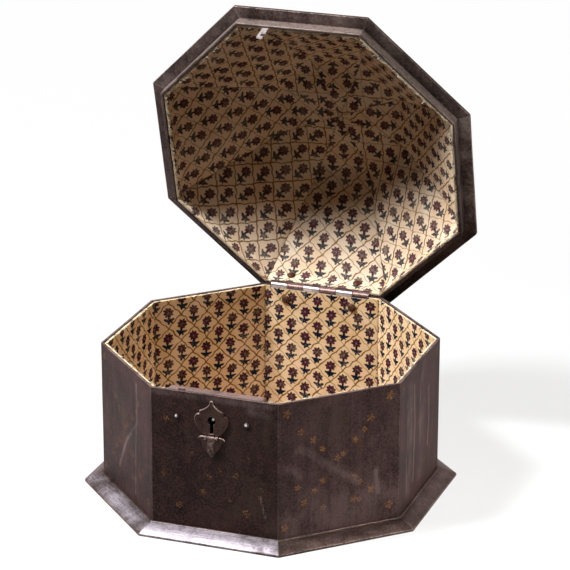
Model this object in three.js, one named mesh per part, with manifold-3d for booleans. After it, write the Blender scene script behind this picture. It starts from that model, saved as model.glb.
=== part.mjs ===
// Octagonal iron casket with a hipped lid on a back hinge, a printed cotton lining, and a
// rim lock behind a shaped escutcheon with a drop cover. The lid is modelled standing open.
// Millimetres, +Z up. The origin is the centre of the underside, and the lock faces -Y.
import * as THREE from "three";
import { mergeVertices } from "three/addons/utils/BufferGeometryUtils.js";
import Module from "manifold-3d";

const wasm = await Module();
wasm.setup();

// Body
const BODY_ACROSS = 300; // over the flats of the walls
const BODY_HEIGHT = 144; // from the ground to the rim
const PLATE = 2.6; // iron plate of the walls, the lid's lip and its panels
const BASE_PLATE = 2.4;
const SIDES = 8;
const SIDE_NAMES = [
  "front",
  "front_right",
  "right",
  "back_right",
  "back",
  "back_left",
  "left",
  "front_left",
];

// Moulding round the foot
const PLINTH_REACH = 17.3; // beyond the walls
const PLINTH_HEIGHT = 9.9;
const PLINTH_EDGE = 2.2;
const BEAD_REACH = 2.4; // small bead where a moulding meets its wall
const BEAD_HEIGHT = 1.4;
const SWELL = 1.1; // how far a moulding's slope bulges over a straight line

// Lid
const OPEN_ANGLE = 75; // degrees from closed to its stop
const EAVE_RISE = 10.9; // from the joint up to the eave's flat underside
const EAVE_REACH = 11.5; // beyond the lip
const EAVE_EDGE = 3;
const RIM_HEIGHT = 19.5; // from the joint to the foot of the sloping panels
const LID_CROWN_ACROSS = 133.2; // over the flats of the panels' upper edges, outside
const LID_RISE = 95; // from the joint to the inside of the level top

// Clearances
const FIT = 0.3; // between pieces that sit together
const PLAY = 0.6; // round a piece that slides or swings past another
const STOP_GAP = 0.3; // between the bevelled back edges that stop the lid

// Cotton on a board backing
const LINING = 2.2;
const FLOOR_LINING = 1.2;
const LINING_SHORT = 1; // how far a lining stays short of the joint

// Hinge
const HINGE_SHIFT = -2.5; // of its middle, from the middle of the back wall
const HINGE_LENGTH = 104;
const KNUCKLES = 6;
const KNUCKLE_GAP = 0.4;
const KNUCKLE_RADIUS = 2.5;
const HINGE_PIN_RADIUS = 1.2;
const LEAF = 1.2;
const LEAF_MARGIN = 1; // from a leaf's edge to the foot of the lid's panels
const HINGE_RIVET_INSET = 17; // from the ends of the leaves
const HINGE_RIVET_DROP = 13.2; // from the joint
const HINGE_RIVET_HEAD_RADIUS = 4.25;
const HINGE_RIVET_HEAD_HEIGHT = 2.4;
const HINGE_RIVET_SHANK_RADIUS = 1.6;

// Keyhole and escutcheon
const KEY_SHIFT = -2; // of the keyhole, from the middle of the front wall
const KEY_DROP = 25.2; // from the rim to the middle of the keyhole's round part
const KEYHOLE_RADIUS = 3.9;
const KEYHOLE_SLOT = 3.5;
const KEYHOLE_REACH = 12.4; // from that middle to the foot of the slot
const KEY_PIN_RADIUS = 1.25;
const KEY_PIN_HEAD_RADIUS = 2.5;
const ESCUTCHEON = 1.6; // thickness
const ESCUTCHEON_EDGE = 0.5; // bevel round it
const ESCUTCHEON_TIP = 20; // heights and half widths are measured from the middle of the keyhole
const BUD_RADIUS = 1.8;
const NECK_WIDTH = 2.6;
const NECK_HEIGHT = 13.2;
const SHOULDER_WIDTH = 12;
const SHOULDER_HEIGHT = 9.5;
const NOTCH_HEIGHT = 6.4;
const LOBE_WIDTH = 17;
const LOBE_HEIGHT = -0.5;
const LOBE_FOOT_WIDTH = 15; // where the curve from lobe to waist turns in
const WAIST_WIDTH = 8.6;

// Drop cover of the keyhole, hanging open under it
const COVER_PIVOT_DROP = 15.8; // from the middle of the keyhole to the cover's pin
const COVER_PIVOT_PROUD = 2.9; // from the wall to the middle of that pin
const COVER_KNUCKLE_RADIUS = 1.7;
const COVER_KNUCKLE_LENGTH = 7.4;
const COVER_EAR_LENGTH = 3;
const COVER_PIN_RADIUS = 0.7;
const COVER_PLATE = 2.4;
const COVER_BACK = 0.5; // between the hanging cover and the wall
const COVER_EDGE = 0.7;
const COVER_HORN_RISE = 0.8; // above the pin, where a horn starts beside its ear
const COVER_HORN_WIDTH = 13.4; // half widths and drops are measured from the middle of the pin
const COVER_HORN_DROP = 2.7;
const COVER_BELLY_WIDTH = 9.4;
const COVER_BELLY_DROP = 8.5;
const COVER_LENGTH = 20.8; // to the point
const COVER_RIB_WIDTH = 3.7;
const COVER_RIB_FOOT = 2;
const COVER_RIB_LENGTH = 16;
const COVER_RIB = 1; // how far the rib stands proud

// Lock
const LOCK_LENGTH = 92;
const LOCK_HEIGHT = 46;
const LOCK_DEPTH = 9;
const LOCK_SHEET = 1.4;
const LOCK_TOP = 1.6;
const LOCK_RIVET_DROP = 24.5;
const LOCK_RIVET_SHANK_RADIUS = 1.4;
const LOCK_RIVET_CLENCH_RADIUS = 2.8;
const LOCK_RIVET_CLENCH = 1;
const LOCK_RIVETS = [
  { name: "lock_rivet_left", side: -1, inset: 10, radius: 2.3, height: 3 },
  { name: "lock_rivet_right", side: 1, inset: 14, radius: 2.6, height: 1.6 },
]; // each is set in from its end of the lock case
const BOLT_DROP = 6.7; // from the rim to the bolt's top edge
const BOLT_HEIGHT = 6;
const BOLT_THICK = 3;
const BOLT_LENGTH = 57;
const BOLT_TRAVEL = 3.4;
const BOLT_GUIDE = 2; // thickness of each guide
const BOLT_GUIDE_INSET = 9; // from the bolt's ends to its guides
const TALON_WIDTH = 8; // between the two lugs that the key's bit pushes
const TALON_LUG = 3;
const TALON_DEPTH = 2.6;
const SPRING = 0.8;
const SPRING_LENGTH = 22;
const SPRING_INSET = 3; // from the guide at the bolt's tail

// Catch that drops from the lid into the lock
const CATCH_SHIFT = -33;
const CATCH_WIDTH = 6;
const CATCH_THICK = 1.8;
const CATCH_REACH = 15.4; // below the joint
const CATCH_ROOT = 13; // up the lip
const CATCH_SET = 0.9; // inward from its root, so that it swings in clear of the wall

// Facets of round forms
const ROUND_SIDES = 16;
const CURVE_STEPS = 5;
const DOME_STEPS = 4;

// Places that follow from the sizes
const WALL_OUT = BODY_ACROSS / 2;
const WALL_IN = WALL_OUT - PLATE;
const HALF_TURN = Math.PI / SIDES;
const LINING_OUT = WALL_IN - FIT;
const LINING_IN = LINING_OUT - LINING;
const LEAF_OUT = WALL_IN - FIT;
const LEAF_IN = LEAF_OUT - LEAF;
const LEAF_DEPTH = RIM_HEIGHT - LEAF_MARGIN;
const HINGE_Y = LEAF_IN + KNUCKLE_RADIUS;
const HINGE_Z = BODY_HEIGHT;
const BARREL_START = HINGE_SHIFT - HINGE_LENGTH / 2;
const BARREL_END = HINGE_SHIFT + HINGE_LENGTH / 2;
const BARREL_ROOM = KNUCKLE_RADIUS + FIT;
const HINGE_RIVETS = { left: BARREL_START + HINGE_RIVET_INSET, right: BARREL_END - HINGE_RIVET_INSET };
const LID_CROWN = LID_CROWN_ACROSS / 2;
const LINING_FOOT = BASE_PLATE + FLOOR_LINING;
const KEY_Z = BODY_HEIGHT - KEY_DROP;
const COVER_Z = KEY_Z - COVER_PIVOT_DROP;
const COVER_Y = -(WALL_OUT + COVER_PIVOT_PROUD);
const COVER_EAR_NEAR = (COVER_KNUCKLE_LENGTH + KNUCKLE_GAP) / 2;
const COVER_EAR_FAR = COVER_EAR_NEAR + COVER_EAR_LENGTH;
const COVER_TOP = COVER_KNUCKLE_RADIUS + FIT; // from the pin to what lies above or below the knuckles
const LOCK_FRONT = -(WALL_IN - FIT);
const LOCK_BACK = LOCK_FRONT + LOCK_DEPTH;
const LOCK_RIVET_Z = BODY_HEIGHT - LOCK_RIVET_DROP;
const CATCH_FACE = -(WALL_IN - FIT) + CATCH_SET;
const CATCH_BACK = CATCH_FACE + CATCH_THICK;
const CATCH_EDGE = CATCH_SHIFT + CATCH_WIDTH / 2;
const BOLT_NOSE = CATCH_EDGE + PLAY;
const BOLT_TAIL = BOLT_NOSE + BOLT_LENGTH;
const BOLT_TOP = BODY_HEIGHT - BOLT_DROP;
const BOLT_FOOT = BOLT_TOP - BOLT_HEIGHT;
const BOLT_FRONT = (CATCH_FACE + CATCH_BACK - BOLT_THICK) / 2;
const BOLT_BACK = BOLT_FRONT + BOLT_THICK;
const FAR = 2 * BODY_ACROSS; // more than any piece, for open cuts

// Solids and booleans

function solidOf(geometry) {
  const bare = new THREE.BufferGeometry().setAttribute("position", geometry.getAttribute("position"));
  if (geometry.index) bare.setIndex(geometry.index);
  const merged = mergeVertices(bare, 1e-4);
  const corners = merged.index.array;
  const kept = [];
  for (let i = 0; i < corners.length; i += 3) {
    const [a, b, c] = corners.slice(i, i + 3);
    if (a !== b && b !== c && c !== a) kept.push(a, b, c);
  }
  const triVerts = new Uint32Array(kept);
  const vertProperties = new Float32Array(merged.attributes.position.array);
  return new wasm.Manifold(new wasm.Mesh({ numProp: 3, vertProperties, triVerts }));
}

function geometryOf(solid) {
  const mesh = solid.getMesh();
  const geometry = new THREE.BufferGeometry();
  geometry.setAttribute("position", new THREE.BufferAttribute(mesh.vertProperties, 3));
  geometry.setIndex(new THREE.BufferAttribute(mesh.triVerts, 1));
  return geometry;
}

function cut(geometry, ...tools) {
  const result = tools.reduce((solid, tool) => solid.subtract(solidOf(tool)), solidOf(geometry));
  return geometryOf(result);
}

function join(geometry, ...others) {
  const result = others.reduce((solid, other) => solid.add(solidOf(other)), solidOf(geometry));
  return geometryOf(result);
}

// Basic shapes in place

function box(x0, x1, y0, y1, z0, z1) {
  const geometry = new THREE.BoxGeometry(x1 - x0, y1 - y0, z1 - z0);
  return geometry.translate((x0 + x1) / 2, (y0 + y1) / 2, (z0 + z1) / 2);
}

function rodAlongX(radius, x0, x1, y, z) {
  const geometry = new THREE.CylinderGeometry(radius, radius, x1 - x0, ROUND_SIDES);
  return geometry.rotateZ(Math.PI / 2).translate((x0 + x1) / 2, y, z);
}

function rodAlongY(radius, y0, y1, x, z) {
  const geometry = new THREE.CylinderGeometry(radius, radius, y1 - y0, ROUND_SIDES);
  return geometry.translate(x, (y0 + y1) / 2, z);
}

// A level eight-sided form about Z. Each point of the outline is [distance to the flats, height].
function octagonal(outline) {
  const points = outline.map(([flat, z]) => new THREE.Vector2(flat / Math.cos(HALF_TURN), z));
  return new THREE.LatheGeometry(points, SIDES, HALF_TURN).rotateX(Math.PI / 2);
}

function levelPlate(out, z0, z1) {
  return octagonal([
    [0, z0],
    [out, z0],
    [out, z1],
    [0, z1],
  ]);
}

// One side of an eight-sided frame, facing -Y, mitred at both ends with half a joint's gap.
function mitredSide(section) {
  const geometry = new THREE.ExtrudeGeometry(section, {
    depth: 1,
    bevelEnabled: false,
    curveSegments: CURVE_STEPS,
  });
  const position = geometry.getAttribute("position");
  for (let i = 0; i < position.count; i++) {
    const out = position.getX(i);
    const half = out * Math.tan(HALF_TURN) - FIT / 2 / Math.cos(HALF_TURN);
    position.setXYZ(i, half * (1 - 2 * position.getZ(i)), -out, position.getY(i));
  }
  return geometry;
}

// A flat shape drawn in X and Z, as thick as given, whose back lies at y.
function platedFront(shape, thick, y, edge) {
  const bevel = { bevelEnabled: edge > 0, bevelThickness: edge, bevelSize: edge, bevelOffset: -edge };
  const options = { depth: thick - 2 * edge, bevelSegments: 1, curveSegments: CURVE_STEPS, ...bevel };
  const geometry = new THREE.ExtrudeGeometry(shape, options).translate(0, 0, edge);
  const position = geometry.getAttribute("position");
  for (let i = 0; i < position.count; i++) {
    position.setXYZ(i, position.getX(i), y - position.getZ(i), position.getY(i));
  }
  return geometry;
}

// A shape from its right half, whose points end on the middle line or stop beside it.
function symmetricShape(half) {
  const right = half.getPoints(CURVE_STEPS);
  const left = right.filter((point) => point.x > 0).reverse();
  return new THREE.Shape([...left.map((point) => new THREE.Vector2(-point.x, point.y)), ...right]);
}

// A domed head with its shank along Y. The head points to -Y and its flat side lies at y = 0.
function domedRivet(headRadius, headHeight, shankRadius, shankLength, clenchRadius, clenchHeight) {
  const points = [];
  for (let i = 0; i <= DOME_STEPS; i++) {
    const angle = (i / DOME_STEPS) * (Math.PI / 2);
    points.push(new THREE.Vector2(headRadius * Math.sin(angle), -headHeight * Math.cos(angle)));
  }
  points.push(new THREE.Vector2(shankRadius, 0), new THREE.Vector2(shankRadius, shankLength));
  if (clenchHeight > 0) {
    points.push(new THREE.Vector2(clenchRadius, shankLength));
    points.push(new THREE.Vector2(clenchRadius, shankLength + clenchHeight));
  }
  points.push(new THREE.Vector2(0, points.at(-1).y));
  return new THREE.LatheGeometry(points, ROUND_SIDES);
}

// Materials

const FINISHES = {
  iron: { color: 0x3e3231, roughness: 0.55, metalness: 0.75 },
  moulding: { color: 0x443837, roughness: 0.5, metalness: 0.75 },
  wornIron: { color: 0x8c8084, roughness: 0.4, metalness: 0.85 },
  lockIron: { color: 0x6b5a55, roughness: 0.45, metalness: 0.8 },
  spring: { color: 0x5b5d63, roughness: 0.35, metalness: 0.9 },
  cotton: { color: 0xc9a878, roughness: 0.95, metalness: 0 },
};

const bodyGroup = new THREE.Group();
const lidGroup = new THREE.Group();

function addPiece(group, name, geometry, finish) {
  const mesh = new THREE.Mesh(geometry, new THREE.MeshStandardMaterial(FINISHES[finish]));
  mesh.name = name;
  group.add(mesh);
  return mesh;
}

// Cuts that two or more pieces share

function keyhole(y0, y1) {
  const foot = box(
    KEY_SHIFT - KEYHOLE_SLOT / 2,
    KEY_SHIFT + KEYHOLE_SLOT / 2,
    y0,
    y1,
    KEY_Z - KEYHOLE_REACH,
    KEY_Z,
  );
  return [rodAlongY(KEYHOLE_RADIUS, y0, y1, KEY_SHIFT, KEY_Z), foot];
}

function hingeRivetHoles(z) {
  return Object.values(HINGE_RIVETS).map((x) => rodAlongY(HINGE_RIVET_SHANK_RADIUS + FIT, 0, FAR, x, z));
}

function lockRivetX(rivet) {
  return rivet.side * (LOCK_LENGTH / 2 - rivet.inset);
}

function lockRivetHoles() {
  return LOCK_RIVETS.map((rivet) => {
    return rodAlongY(LOCK_RIVET_SHANK_RADIUS + FIT, -FAR, 0, lockRivetX(rivet), LOCK_RIVET_Z);
  });
}

function barrelRoom() {
  const z0 = HINGE_Z - BARREL_ROOM;
  const z1 = HINGE_Z + BARREL_ROOM;
  return box(BARREL_START - FIT, BARREL_END + FIT, 0, FAR, z0, z1);
}

// The bevel of a back edge: half the opening angle, so that two of them meet and stop the lid.
function stopBevel(upward) {
  const half = THREE.MathUtils.degToRad(OPEN_ANGLE / 2);
  const wedge = box(-FAR, FAR, -FAR / 2, FAR / 2, -STOP_GAP / 2, FAR);
  wedge.rotateX(upward ? Math.PI + half : -half);
  return wedge.translate(0, HINGE_Y, HINGE_Z);
}

// Body

function plateSection() {
  const shape = new THREE.Shape();
  shape.moveTo(WALL_IN, BASE_PLATE).lineTo(WALL_OUT, BASE_PLATE);
  shape.lineTo(WALL_OUT, BODY_HEIGHT).lineTo(WALL_IN, BODY_HEIGHT);
  return shape;
}

// What is cut from a side of the body or of the lid's rim, where the whole object stands.
function sideCuts(side, upward) {
  const holes = hingeRivetHoles(HINGE_Z + (upward ? HINGE_RIVET_DROP : -HINGE_RIVET_DROP));
  if (side === "back") return [barrelRoom(), stopBevel(upward), ...holes];
  if (side.startsWith("back")) return [stopBevel(upward)];
  if (side === "front" && !upward) return [...keyhole(-FAR, 0), ...lockRivetHoles()];
  return [];
}

// A side in the frame of a mesh that is then turned to its place.
function framedSide(section, turn, cuts) {
  return cut(mitredSide(section), ...cuts.map((tool) => tool.rotateZ(-turn)));
}

// The sloping top of a moulding, from its outer edge to the bead at its wall.
function mouldingSlope(shape, reach, edgeTop, top) {
  const beadOut = WALL_OUT + FIT + BEAD_REACH;
  const slopeTop = top - BEAD_HEIGHT;
  const middle = (WALL_OUT + reach + beadOut) / 2;
  const height = (edgeTop + slopeTop) / 2 + 2 * SWELL; // the curve's middle is half as far out
  shape.lineTo(WALL_OUT + reach, edgeTop);
  shape.quadraticCurveTo(middle, height, beadOut, slopeTop);
  shape.lineTo(beadOut, top);
}

function plinthSection() {
  const shape = new THREE.Shape();
  shape.moveTo(WALL_OUT + FIT, 0).lineTo(WALL_OUT + PLINTH_REACH, 0);
  mouldingSlope(shape, PLINTH_REACH, PLINTH_EDGE, PLINTH_HEIGHT);
  shape.lineTo(WALL_OUT + FIT, PLINTH_HEIGHT);
  return shape;
}

function wallLining() {
  const top = BODY_HEIGHT - LINING_SHORT;
  const ring = octagonal([
    [LINING_OUT, LINING_FOOT],
    [LINING_OUT, top],
    [LINING_IN, top],
    [LINING_IN, LINING_FOOT],
    [LINING_OUT, LINING_FOOT],
  ]);
  const leafPocket = box(
    BARREL_START - FIT,
    BARREL_END + FIT,
    LEAF_IN - FIT,
    FAR,
    BODY_HEIGHT - LEAF_DEPTH - FIT,
    FAR,
  );
  const half = LOCK_LENGTH / 2 + FIT;
  const lockWindow = box(-half, half, -FAR, 0, BODY_HEIGHT - LOCK_HEIGHT - FIT, FAR);
  const rivetHoles = hingeRivetHoles(HINGE_Z - HINGE_RIVET_DROP);
  return cut(ring, leafPocket, lockWindow, barrelRoom(), ...rivetHoles);
}

function buildBody() {
  addPiece(bodyGroup, "base_plate", levelPlate(WALL_OUT, 0, BASE_PLATE), "iron");
  SIDE_NAMES.forEach((side, i) => {
    const turn = i * 2 * HALF_TURN;
    const plate = framedSide(plateSection(), turn, sideCuts(side, false));
    addPiece(bodyGroup, "wall_" + side, plate, "iron").rotation.z = turn;
    addPiece(bodyGroup, "plinth_" + side, mitredSide(plinthSection()), "moulding").rotation.z = turn;
  });
  addPiece(bodyGroup, "wall_lining", wallLining(), "cotton");
  addPiece(bodyGroup, "floor_lining", levelPlate(LINING_OUT, BASE_PLATE, LINING_FOOT), "cotton");
}

// Lid, drawn closed on the body. Heights are measured from the joint.

const SLOPE_FOOT = RIM_HEIGHT + FIT;
const SLOPE = Math.atan2(LID_RISE - SLOPE_FOOT, WALL_OUT - LID_CROWN);
const PANEL_WIDTH = PLATE / Math.sin(SLOPE); // of a panel, measured level

function jointSection(points) {
  return new THREE.Shape(points.map(([out, z]) => new THREE.Vector2(out, BODY_HEIGHT + z)));
}

function rimSection() {
  const shape = new THREE.Shape();
  const joint = BODY_HEIGHT;
  shape.moveTo(WALL_IN, joint + FIT).lineTo(WALL_OUT, joint + FIT);
  shape.lineTo(WALL_OUT, joint + EAVE_RISE).lineTo(WALL_OUT + EAVE_REACH, joint + EAVE_RISE);
  mouldingSlope(shape, EAVE_REACH, joint + EAVE_RISE + EAVE_EDGE, joint + RIM_HEIGHT);
  shape.lineTo(WALL_IN, joint + RIM_HEIGHT);
  return shape;
}

function panelSection() {
  return jointSection([
    [WALL_OUT - PANEL_WIDTH, SLOPE_FOOT],
    [WALL_OUT, SLOPE_FOOT],
    [LID_CROWN, LID_RISE],
    [LID_CROWN - PANEL_WIDTH, LID_RISE],
  ]);
}

// The lining's surface that lies a given depth inside the iron, from the joint up to the middle.
function lidInside(depth) {
  const shell = PANEL_WIDTH + depth / Math.sin(SLOPE);
  const level = (z) => WALL_OUT - shell - (z - SLOPE_FOOT) / Math.tan(SLOPE);
  const out = WALL_IN - depth;
  const kink = SLOPE_FOOT + (level(SLOPE_FOOT) - out) * Math.tan(SLOPE);
  const top = LID_RISE - depth;
  return [[out, LINING_SHORT], [out, kink], [level(top), top], [0, top]];
}

function lidLining() {
  const outer = lidInside(FIT);
  const inner = lidInside(FIT + LINING).reverse();
  const outline = [...inner, ...outer].map(([out, z]) => [out, BODY_HEIGHT + z]);
  const leafPocket = box(
    BARREL_START - FIT,
    BARREL_END + FIT,
    LEAF_IN - FIT,
    FAR,
    0,
    BODY_HEIGHT + LEAF_DEPTH + FIT,
  );
  const half = CATCH_WIDTH / 2 + FIT;
  const catchSlot = box(
    CATCH_SHIFT - half,
    CATCH_SHIFT + half,
    -FAR,
    CATCH_BACK + FIT,
    0,
    BODY_HEIGHT + CATCH_ROOT + FIT,
  );
  const rivetHoles = hingeRivetHoles(HINGE_Z + HINGE_RIVET_DROP);
  return cut(octagonal(outline), leafPocket, barrelRoom(), catchSlot, ...rivetHoles);
}

function crownPlate() {
  const under = BODY_HEIGHT + LID_RISE + FIT;
  const upper = LID_CROWN - PLATE / Math.tan(SLOPE);
  return octagonal([
    [0, under],
    [LID_CROWN, under],
    [upper, under + PLATE],
    [0, under + PLATE],
  ]);
}

// A flat hook with a notch in its edge for the bolt, on a root pad that meets the lip.
function lidCatch() {
  const x0 = CATCH_SHIFT - CATCH_WIDTH / 2;
  const top = BODY_HEIGHT + CATCH_ROOT;
  const blade = box(x0, CATCH_EDGE, CATCH_FACE, CATCH_BACK, BODY_HEIGHT - CATCH_REACH, top);
  const pad = box(x0, CATCH_EDGE, CATCH_FACE - CATCH_SET, CATCH_BACK, BODY_HEIGHT + PLAY, top);
  const notch = box(
    BOLT_NOSE - BOLT_TRAVEL - PLAY,
    FAR,
    -FAR,
    0,
    BOLT_FOOT - FIT,
    BOLT_TOP + FIT,
  );
  return cut(join(blade, pad), notch);
}

function buildLid() {
  SIDE_NAMES.forEach((side, i) => {
    const turn = i * 2 * HALF_TURN;
    const rim = framedSide(rimSection(), turn, sideCuts(side, true));
    addPiece(lidGroup, "lid_rim_" + side, rim, "moulding").rotation.z = turn;
    addPiece(lidGroup, "lid_panel_" + side, mitredSide(panelSection()), "iron").rotation.z = turn;
  });
  addPiece(lidGroup, "lid_top_plate", crownPlate(), "iron");
  addPiece(lidGroup, "lid_lining", lidLining(), "cotton");
  addPiece(lidGroup, "lid_catch", lidCatch(), "wornIron");
}

// Hinge

function knuckleSpan(index) {
  const pitch = HINGE_LENGTH / KNUCKLES;
  const start = BARREL_START + index * pitch;
  return [start + KNUCKLE_GAP / 2, start + pitch - KNUCKLE_GAP / 2];
}

// A leaf and every second knuckle from first on. It hangs down from the pin, or stands up.
function hingeLeaf(first, upward) {
  const way = upward ? 1 : -1;
  const span = (from, to) => [HINGE_Z + way * from, HINGE_Z + way * to].sort((a, b) => a - b);
  let leaf = box(BARREL_START, BARREL_END, LEAF_IN, LEAF_OUT, ...span(BARREL_ROOM, LEAF_DEPTH));
  for (let index = first; index < KNUCKLES; index += 2) {
    const [x0, x1] = knuckleSpan(index);
    const strap = box(x0, x1, LEAF_IN, LEAF_OUT, ...span(0, BARREL_ROOM + LEAF));
    leaf = join(leaf, strap, rodAlongX(KNUCKLE_RADIUS, x0, x1, HINGE_Y, HINGE_Z));
  }
  const bore = rodAlongX(HINGE_PIN_RADIUS + FIT, -FAR, FAR, HINGE_Y, HINGE_Z);
  return cut(leaf, bore, ...hingeRivetHoles(HINGE_Z + way * HINGE_RIVET_DROP));
}

function hingeRivet(x, z) {
  const headAt = LINING_IN - FIT;
  const rivet = domedRivet(
    HINGE_RIVET_HEAD_RADIUS,
    HINGE_RIVET_HEAD_HEIGHT,
    HINGE_RIVET_SHANK_RADIUS,
    WALL_OUT - headAt,
    0,
    0,
  );
  return rivet.translate(x, headAt, z);
}

function buildHinge() {
  addPiece(bodyGroup, "hinge_leaf_body", hingeLeaf(0, false), "wornIron");
  addPiece(lidGroup, "hinge_leaf_lid", hingeLeaf(1, true), "wornIron");
  const pin = rodAlongX(HINGE_PIN_RADIUS, BARREL_START, BARREL_END, HINGE_Y, HINGE_Z);
  addPiece(bodyGroup, "hinge_pin", pin, "wornIron");
  for (const [word, x] of Object.entries(HINGE_RIVETS)) {
    const low = hingeRivet(x, HINGE_Z - HINGE_RIVET_DROP);
    const high = hingeRivet(x, HINGE_Z + HINGE_RIVET_DROP);
    addPiece(bodyGroup, "hinge_rivet_body_" + word, low, "iron");
    addPiece(lidGroup, "hinge_rivet_lid_" + word, high, "iron");
  }
}

// Escutcheon and its drop cover

function coverEars() {
  const low = COVER_Z - COVER_KNUCKLE_RADIUS;
  const high = COVER_Z + COVER_KNUCKLE_RADIUS;
  return [
    [KEY_SHIFT - COVER_EAR_FAR, KEY_SHIFT - COVER_EAR_NEAR],
    [KEY_SHIFT + COVER_EAR_NEAR, KEY_SHIFT + COVER_EAR_FAR],
  ].map(([x0, x1]) => {
    const foot = box(x0, x1, COVER_Y, -WALL_OUT, low, high);
    const finger = box(x0, x1, -WALL_OUT - ESCUTCHEON, -WALL_OUT, low, COVER_Z + COVER_TOP + ESCUTCHEON);
    return join(foot, finger, rodAlongX(COVER_KNUCKLE_RADIUS, x0, x1, COVER_Y, COVER_Z));
  });
}

function coverBore() {
  return rodAlongX(COVER_PIN_RADIUS + FIT, -FAR, FAR, COVER_Y, COVER_Z);
}

function escutcheon() {
  const foot = COVER_TOP - COVER_PIVOT_DROP;
  const half = new THREE.Path();
  half.moveTo(0, ESCUTCHEON_TIP);
  half.quadraticCurveTo(BUD_RADIUS, ESCUTCHEON_TIP, BUD_RADIUS, ESCUTCHEON_TIP - BUD_RADIUS);
  half.quadraticCurveTo(NECK_WIDTH, NECK_HEIGHT, SHOULDER_WIDTH, SHOULDER_HEIGHT);
  half.lineTo(SHOULDER_WIDTH, NOTCH_HEIGHT);
  half.quadraticCurveTo(LOBE_WIDTH, NOTCH_HEIGHT, LOBE_WIDTH, LOBE_HEIGHT);
  half.quadraticCurveTo(LOBE_FOOT_WIDTH, (LOBE_HEIGHT + foot) / 2, WAIST_WIDTH, foot);
  const plate = platedFront(symmetricShape(half), ESCUTCHEON, -WALL_OUT, ESCUTCHEON_EDGE);
  plate.translate(KEY_SHIFT, 0, KEY_Z);
  return cut(join(plate, ...coverEars()), coverBore(), ...keyhole(-FAR, 0));
}

function keyholeCover() {
  const half = new THREE.Path();
  const neck = COVER_EAR_FAR + FIT;
  const bellyTurn = -(COVER_HORN_DROP + COVER_KNUCKLE_RADIUS);
  half.moveTo(neck, -COVER_TOP).lineTo(neck, COVER_HORN_RISE);
  half.quadraticCurveTo(COVER_HORN_WIDTH, COVER_HORN_RISE, COVER_HORN_WIDTH, -COVER_HORN_DROP);
  half.quadraticCurveTo(COVER_BELLY_WIDTH, bellyTurn, COVER_BELLY_WIDTH, -COVER_BELLY_DROP);
  const pointTurn = -(COVER_BELLY_DROP + COVER_LENGTH) / 2;
  half.quadraticCurveTo(COVER_BELLY_WIDTH - COVER_RIB_WIDTH, pointTurn, 0, -COVER_LENGTH);
  const back = -(WALL_OUT + COVER_BACK);
  const plate = platedFront(symmetricShape(half), COVER_PLATE, back, COVER_EDGE);
  const rib = new THREE.Path();
  rib.moveTo(COVER_RIB_WIDTH, -COVER_TOP).lineTo(COVER_RIB_FOOT, -COVER_RIB_LENGTH);
  const ribBack = back - COVER_PLATE + COVER_EDGE;
  const raised = platedFront(symmetricShape(rib), COVER_RIB + COVER_EDGE, ribBack, 0);
  plate.translate(KEY_SHIFT, 0, COVER_Z);
  raised.translate(KEY_SHIFT, 0, COVER_Z);
  const x0 = KEY_SHIFT - COVER_KNUCKLE_LENGTH / 2;
  const x1 = KEY_SHIFT + COVER_KNUCKLE_LENGTH / 2;
  const strapFoot = COVER_Z - COVER_TOP - COVER_PLATE;
  const strap = box(x0, x1, back - COVER_PLATE, back, strapFoot, COVER_Z);
  const barrel = rodAlongX(COVER_KNUCKLE_RADIUS, x0, x1, COVER_Y, COVER_Z);
  return cut(join(plate, raised, strap, barrel), coverBore());
}

function coverPin() {
  const x0 = KEY_SHIFT - COVER_EAR_FAR;
  const x1 = KEY_SHIFT + COVER_EAR_FAR;
  return rodAlongX(COVER_PIN_RADIUS, x0, x1, COVER_Y, COVER_Z);
}

// Lock

// A tray that is open to the wall and under the top plate, with two guides for the bolt.
function lockCase() {
  const half = LOCK_LENGTH / 2;
  const inner = half - LOCK_SHEET;
  const top = BODY_HEIGHT - LOCK_TOP;
  const foot = BODY_HEIGHT - LOCK_HEIGHT;
  const outside = box(-half, half, LOCK_FRONT, LOCK_BACK, foot, top);
  const hollow = box(-inner, inner, -FAR, LOCK_BACK - LOCK_SHEET, foot + LOCK_SHEET, FAR);
  const guideFoot = BOLT_FOOT - FIT - LOCK_SHEET;
  const guides = [BOLT_NOSE + BOLT_GUIDE_INSET, BOLT_TAIL - BOLT_GUIDE_INSET - BOLT_GUIDE].map((x) =>
    box(x, x + BOLT_GUIDE, LOCK_FRONT, LOCK_BACK, guideFoot, top),
  );
  const way = box(
    BOLT_NOSE - BOLT_TRAVEL,
    BOLT_TAIL + PLAY,
    BOLT_FRONT - FIT,
    BOLT_BACK + FIT,
    BOLT_FOOT - FIT,
    BOLT_TOP + FIT,
  );
  const pinHole = rodAlongY(KEY_PIN_RADIUS + FIT, -FAR, 0, KEY_SHIFT, KEY_Z);
  return cut(join(cut(outside, hollow), ...guides), way, pinHole, ...lockRivetHoles());
}

function lockTopPlate() {
  const half = LOCK_LENGTH / 2;
  const plate = box(-half, half, LOCK_FRONT, LOCK_BACK, BODY_HEIGHT - LOCK_TOP, BODY_HEIGHT);
  const reach = CATCH_WIDTH / 2 + PLAY;
  const slot = box(CATCH_SHIFT - reach, CATCH_SHIFT + reach, -FAR, CATCH_BACK + PLAY, 0, FAR);
  return cut(plate, slot);
}

function lockBolt() {
  const bar = box(BOLT_NOSE, BOLT_TAIL, BOLT_FRONT, BOLT_BACK, BOLT_FOOT, BOLT_TOP);
  const near = TALON_WIDTH / 2;
  const far = near + TALON_LUG;
  const lugs = box(
    KEY_SHIFT - far,
    KEY_SHIFT + far,
    BOLT_FRONT,
    BOLT_BACK,
    BOLT_FOOT - TALON_DEPTH,
    BOLT_TOP,
  );
  const talon = box(KEY_SHIFT - near, KEY_SHIFT + near, -FAR, 0, 0, BOLT_FOOT);
  return cut(join(bar, lugs), talon);
}

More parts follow.
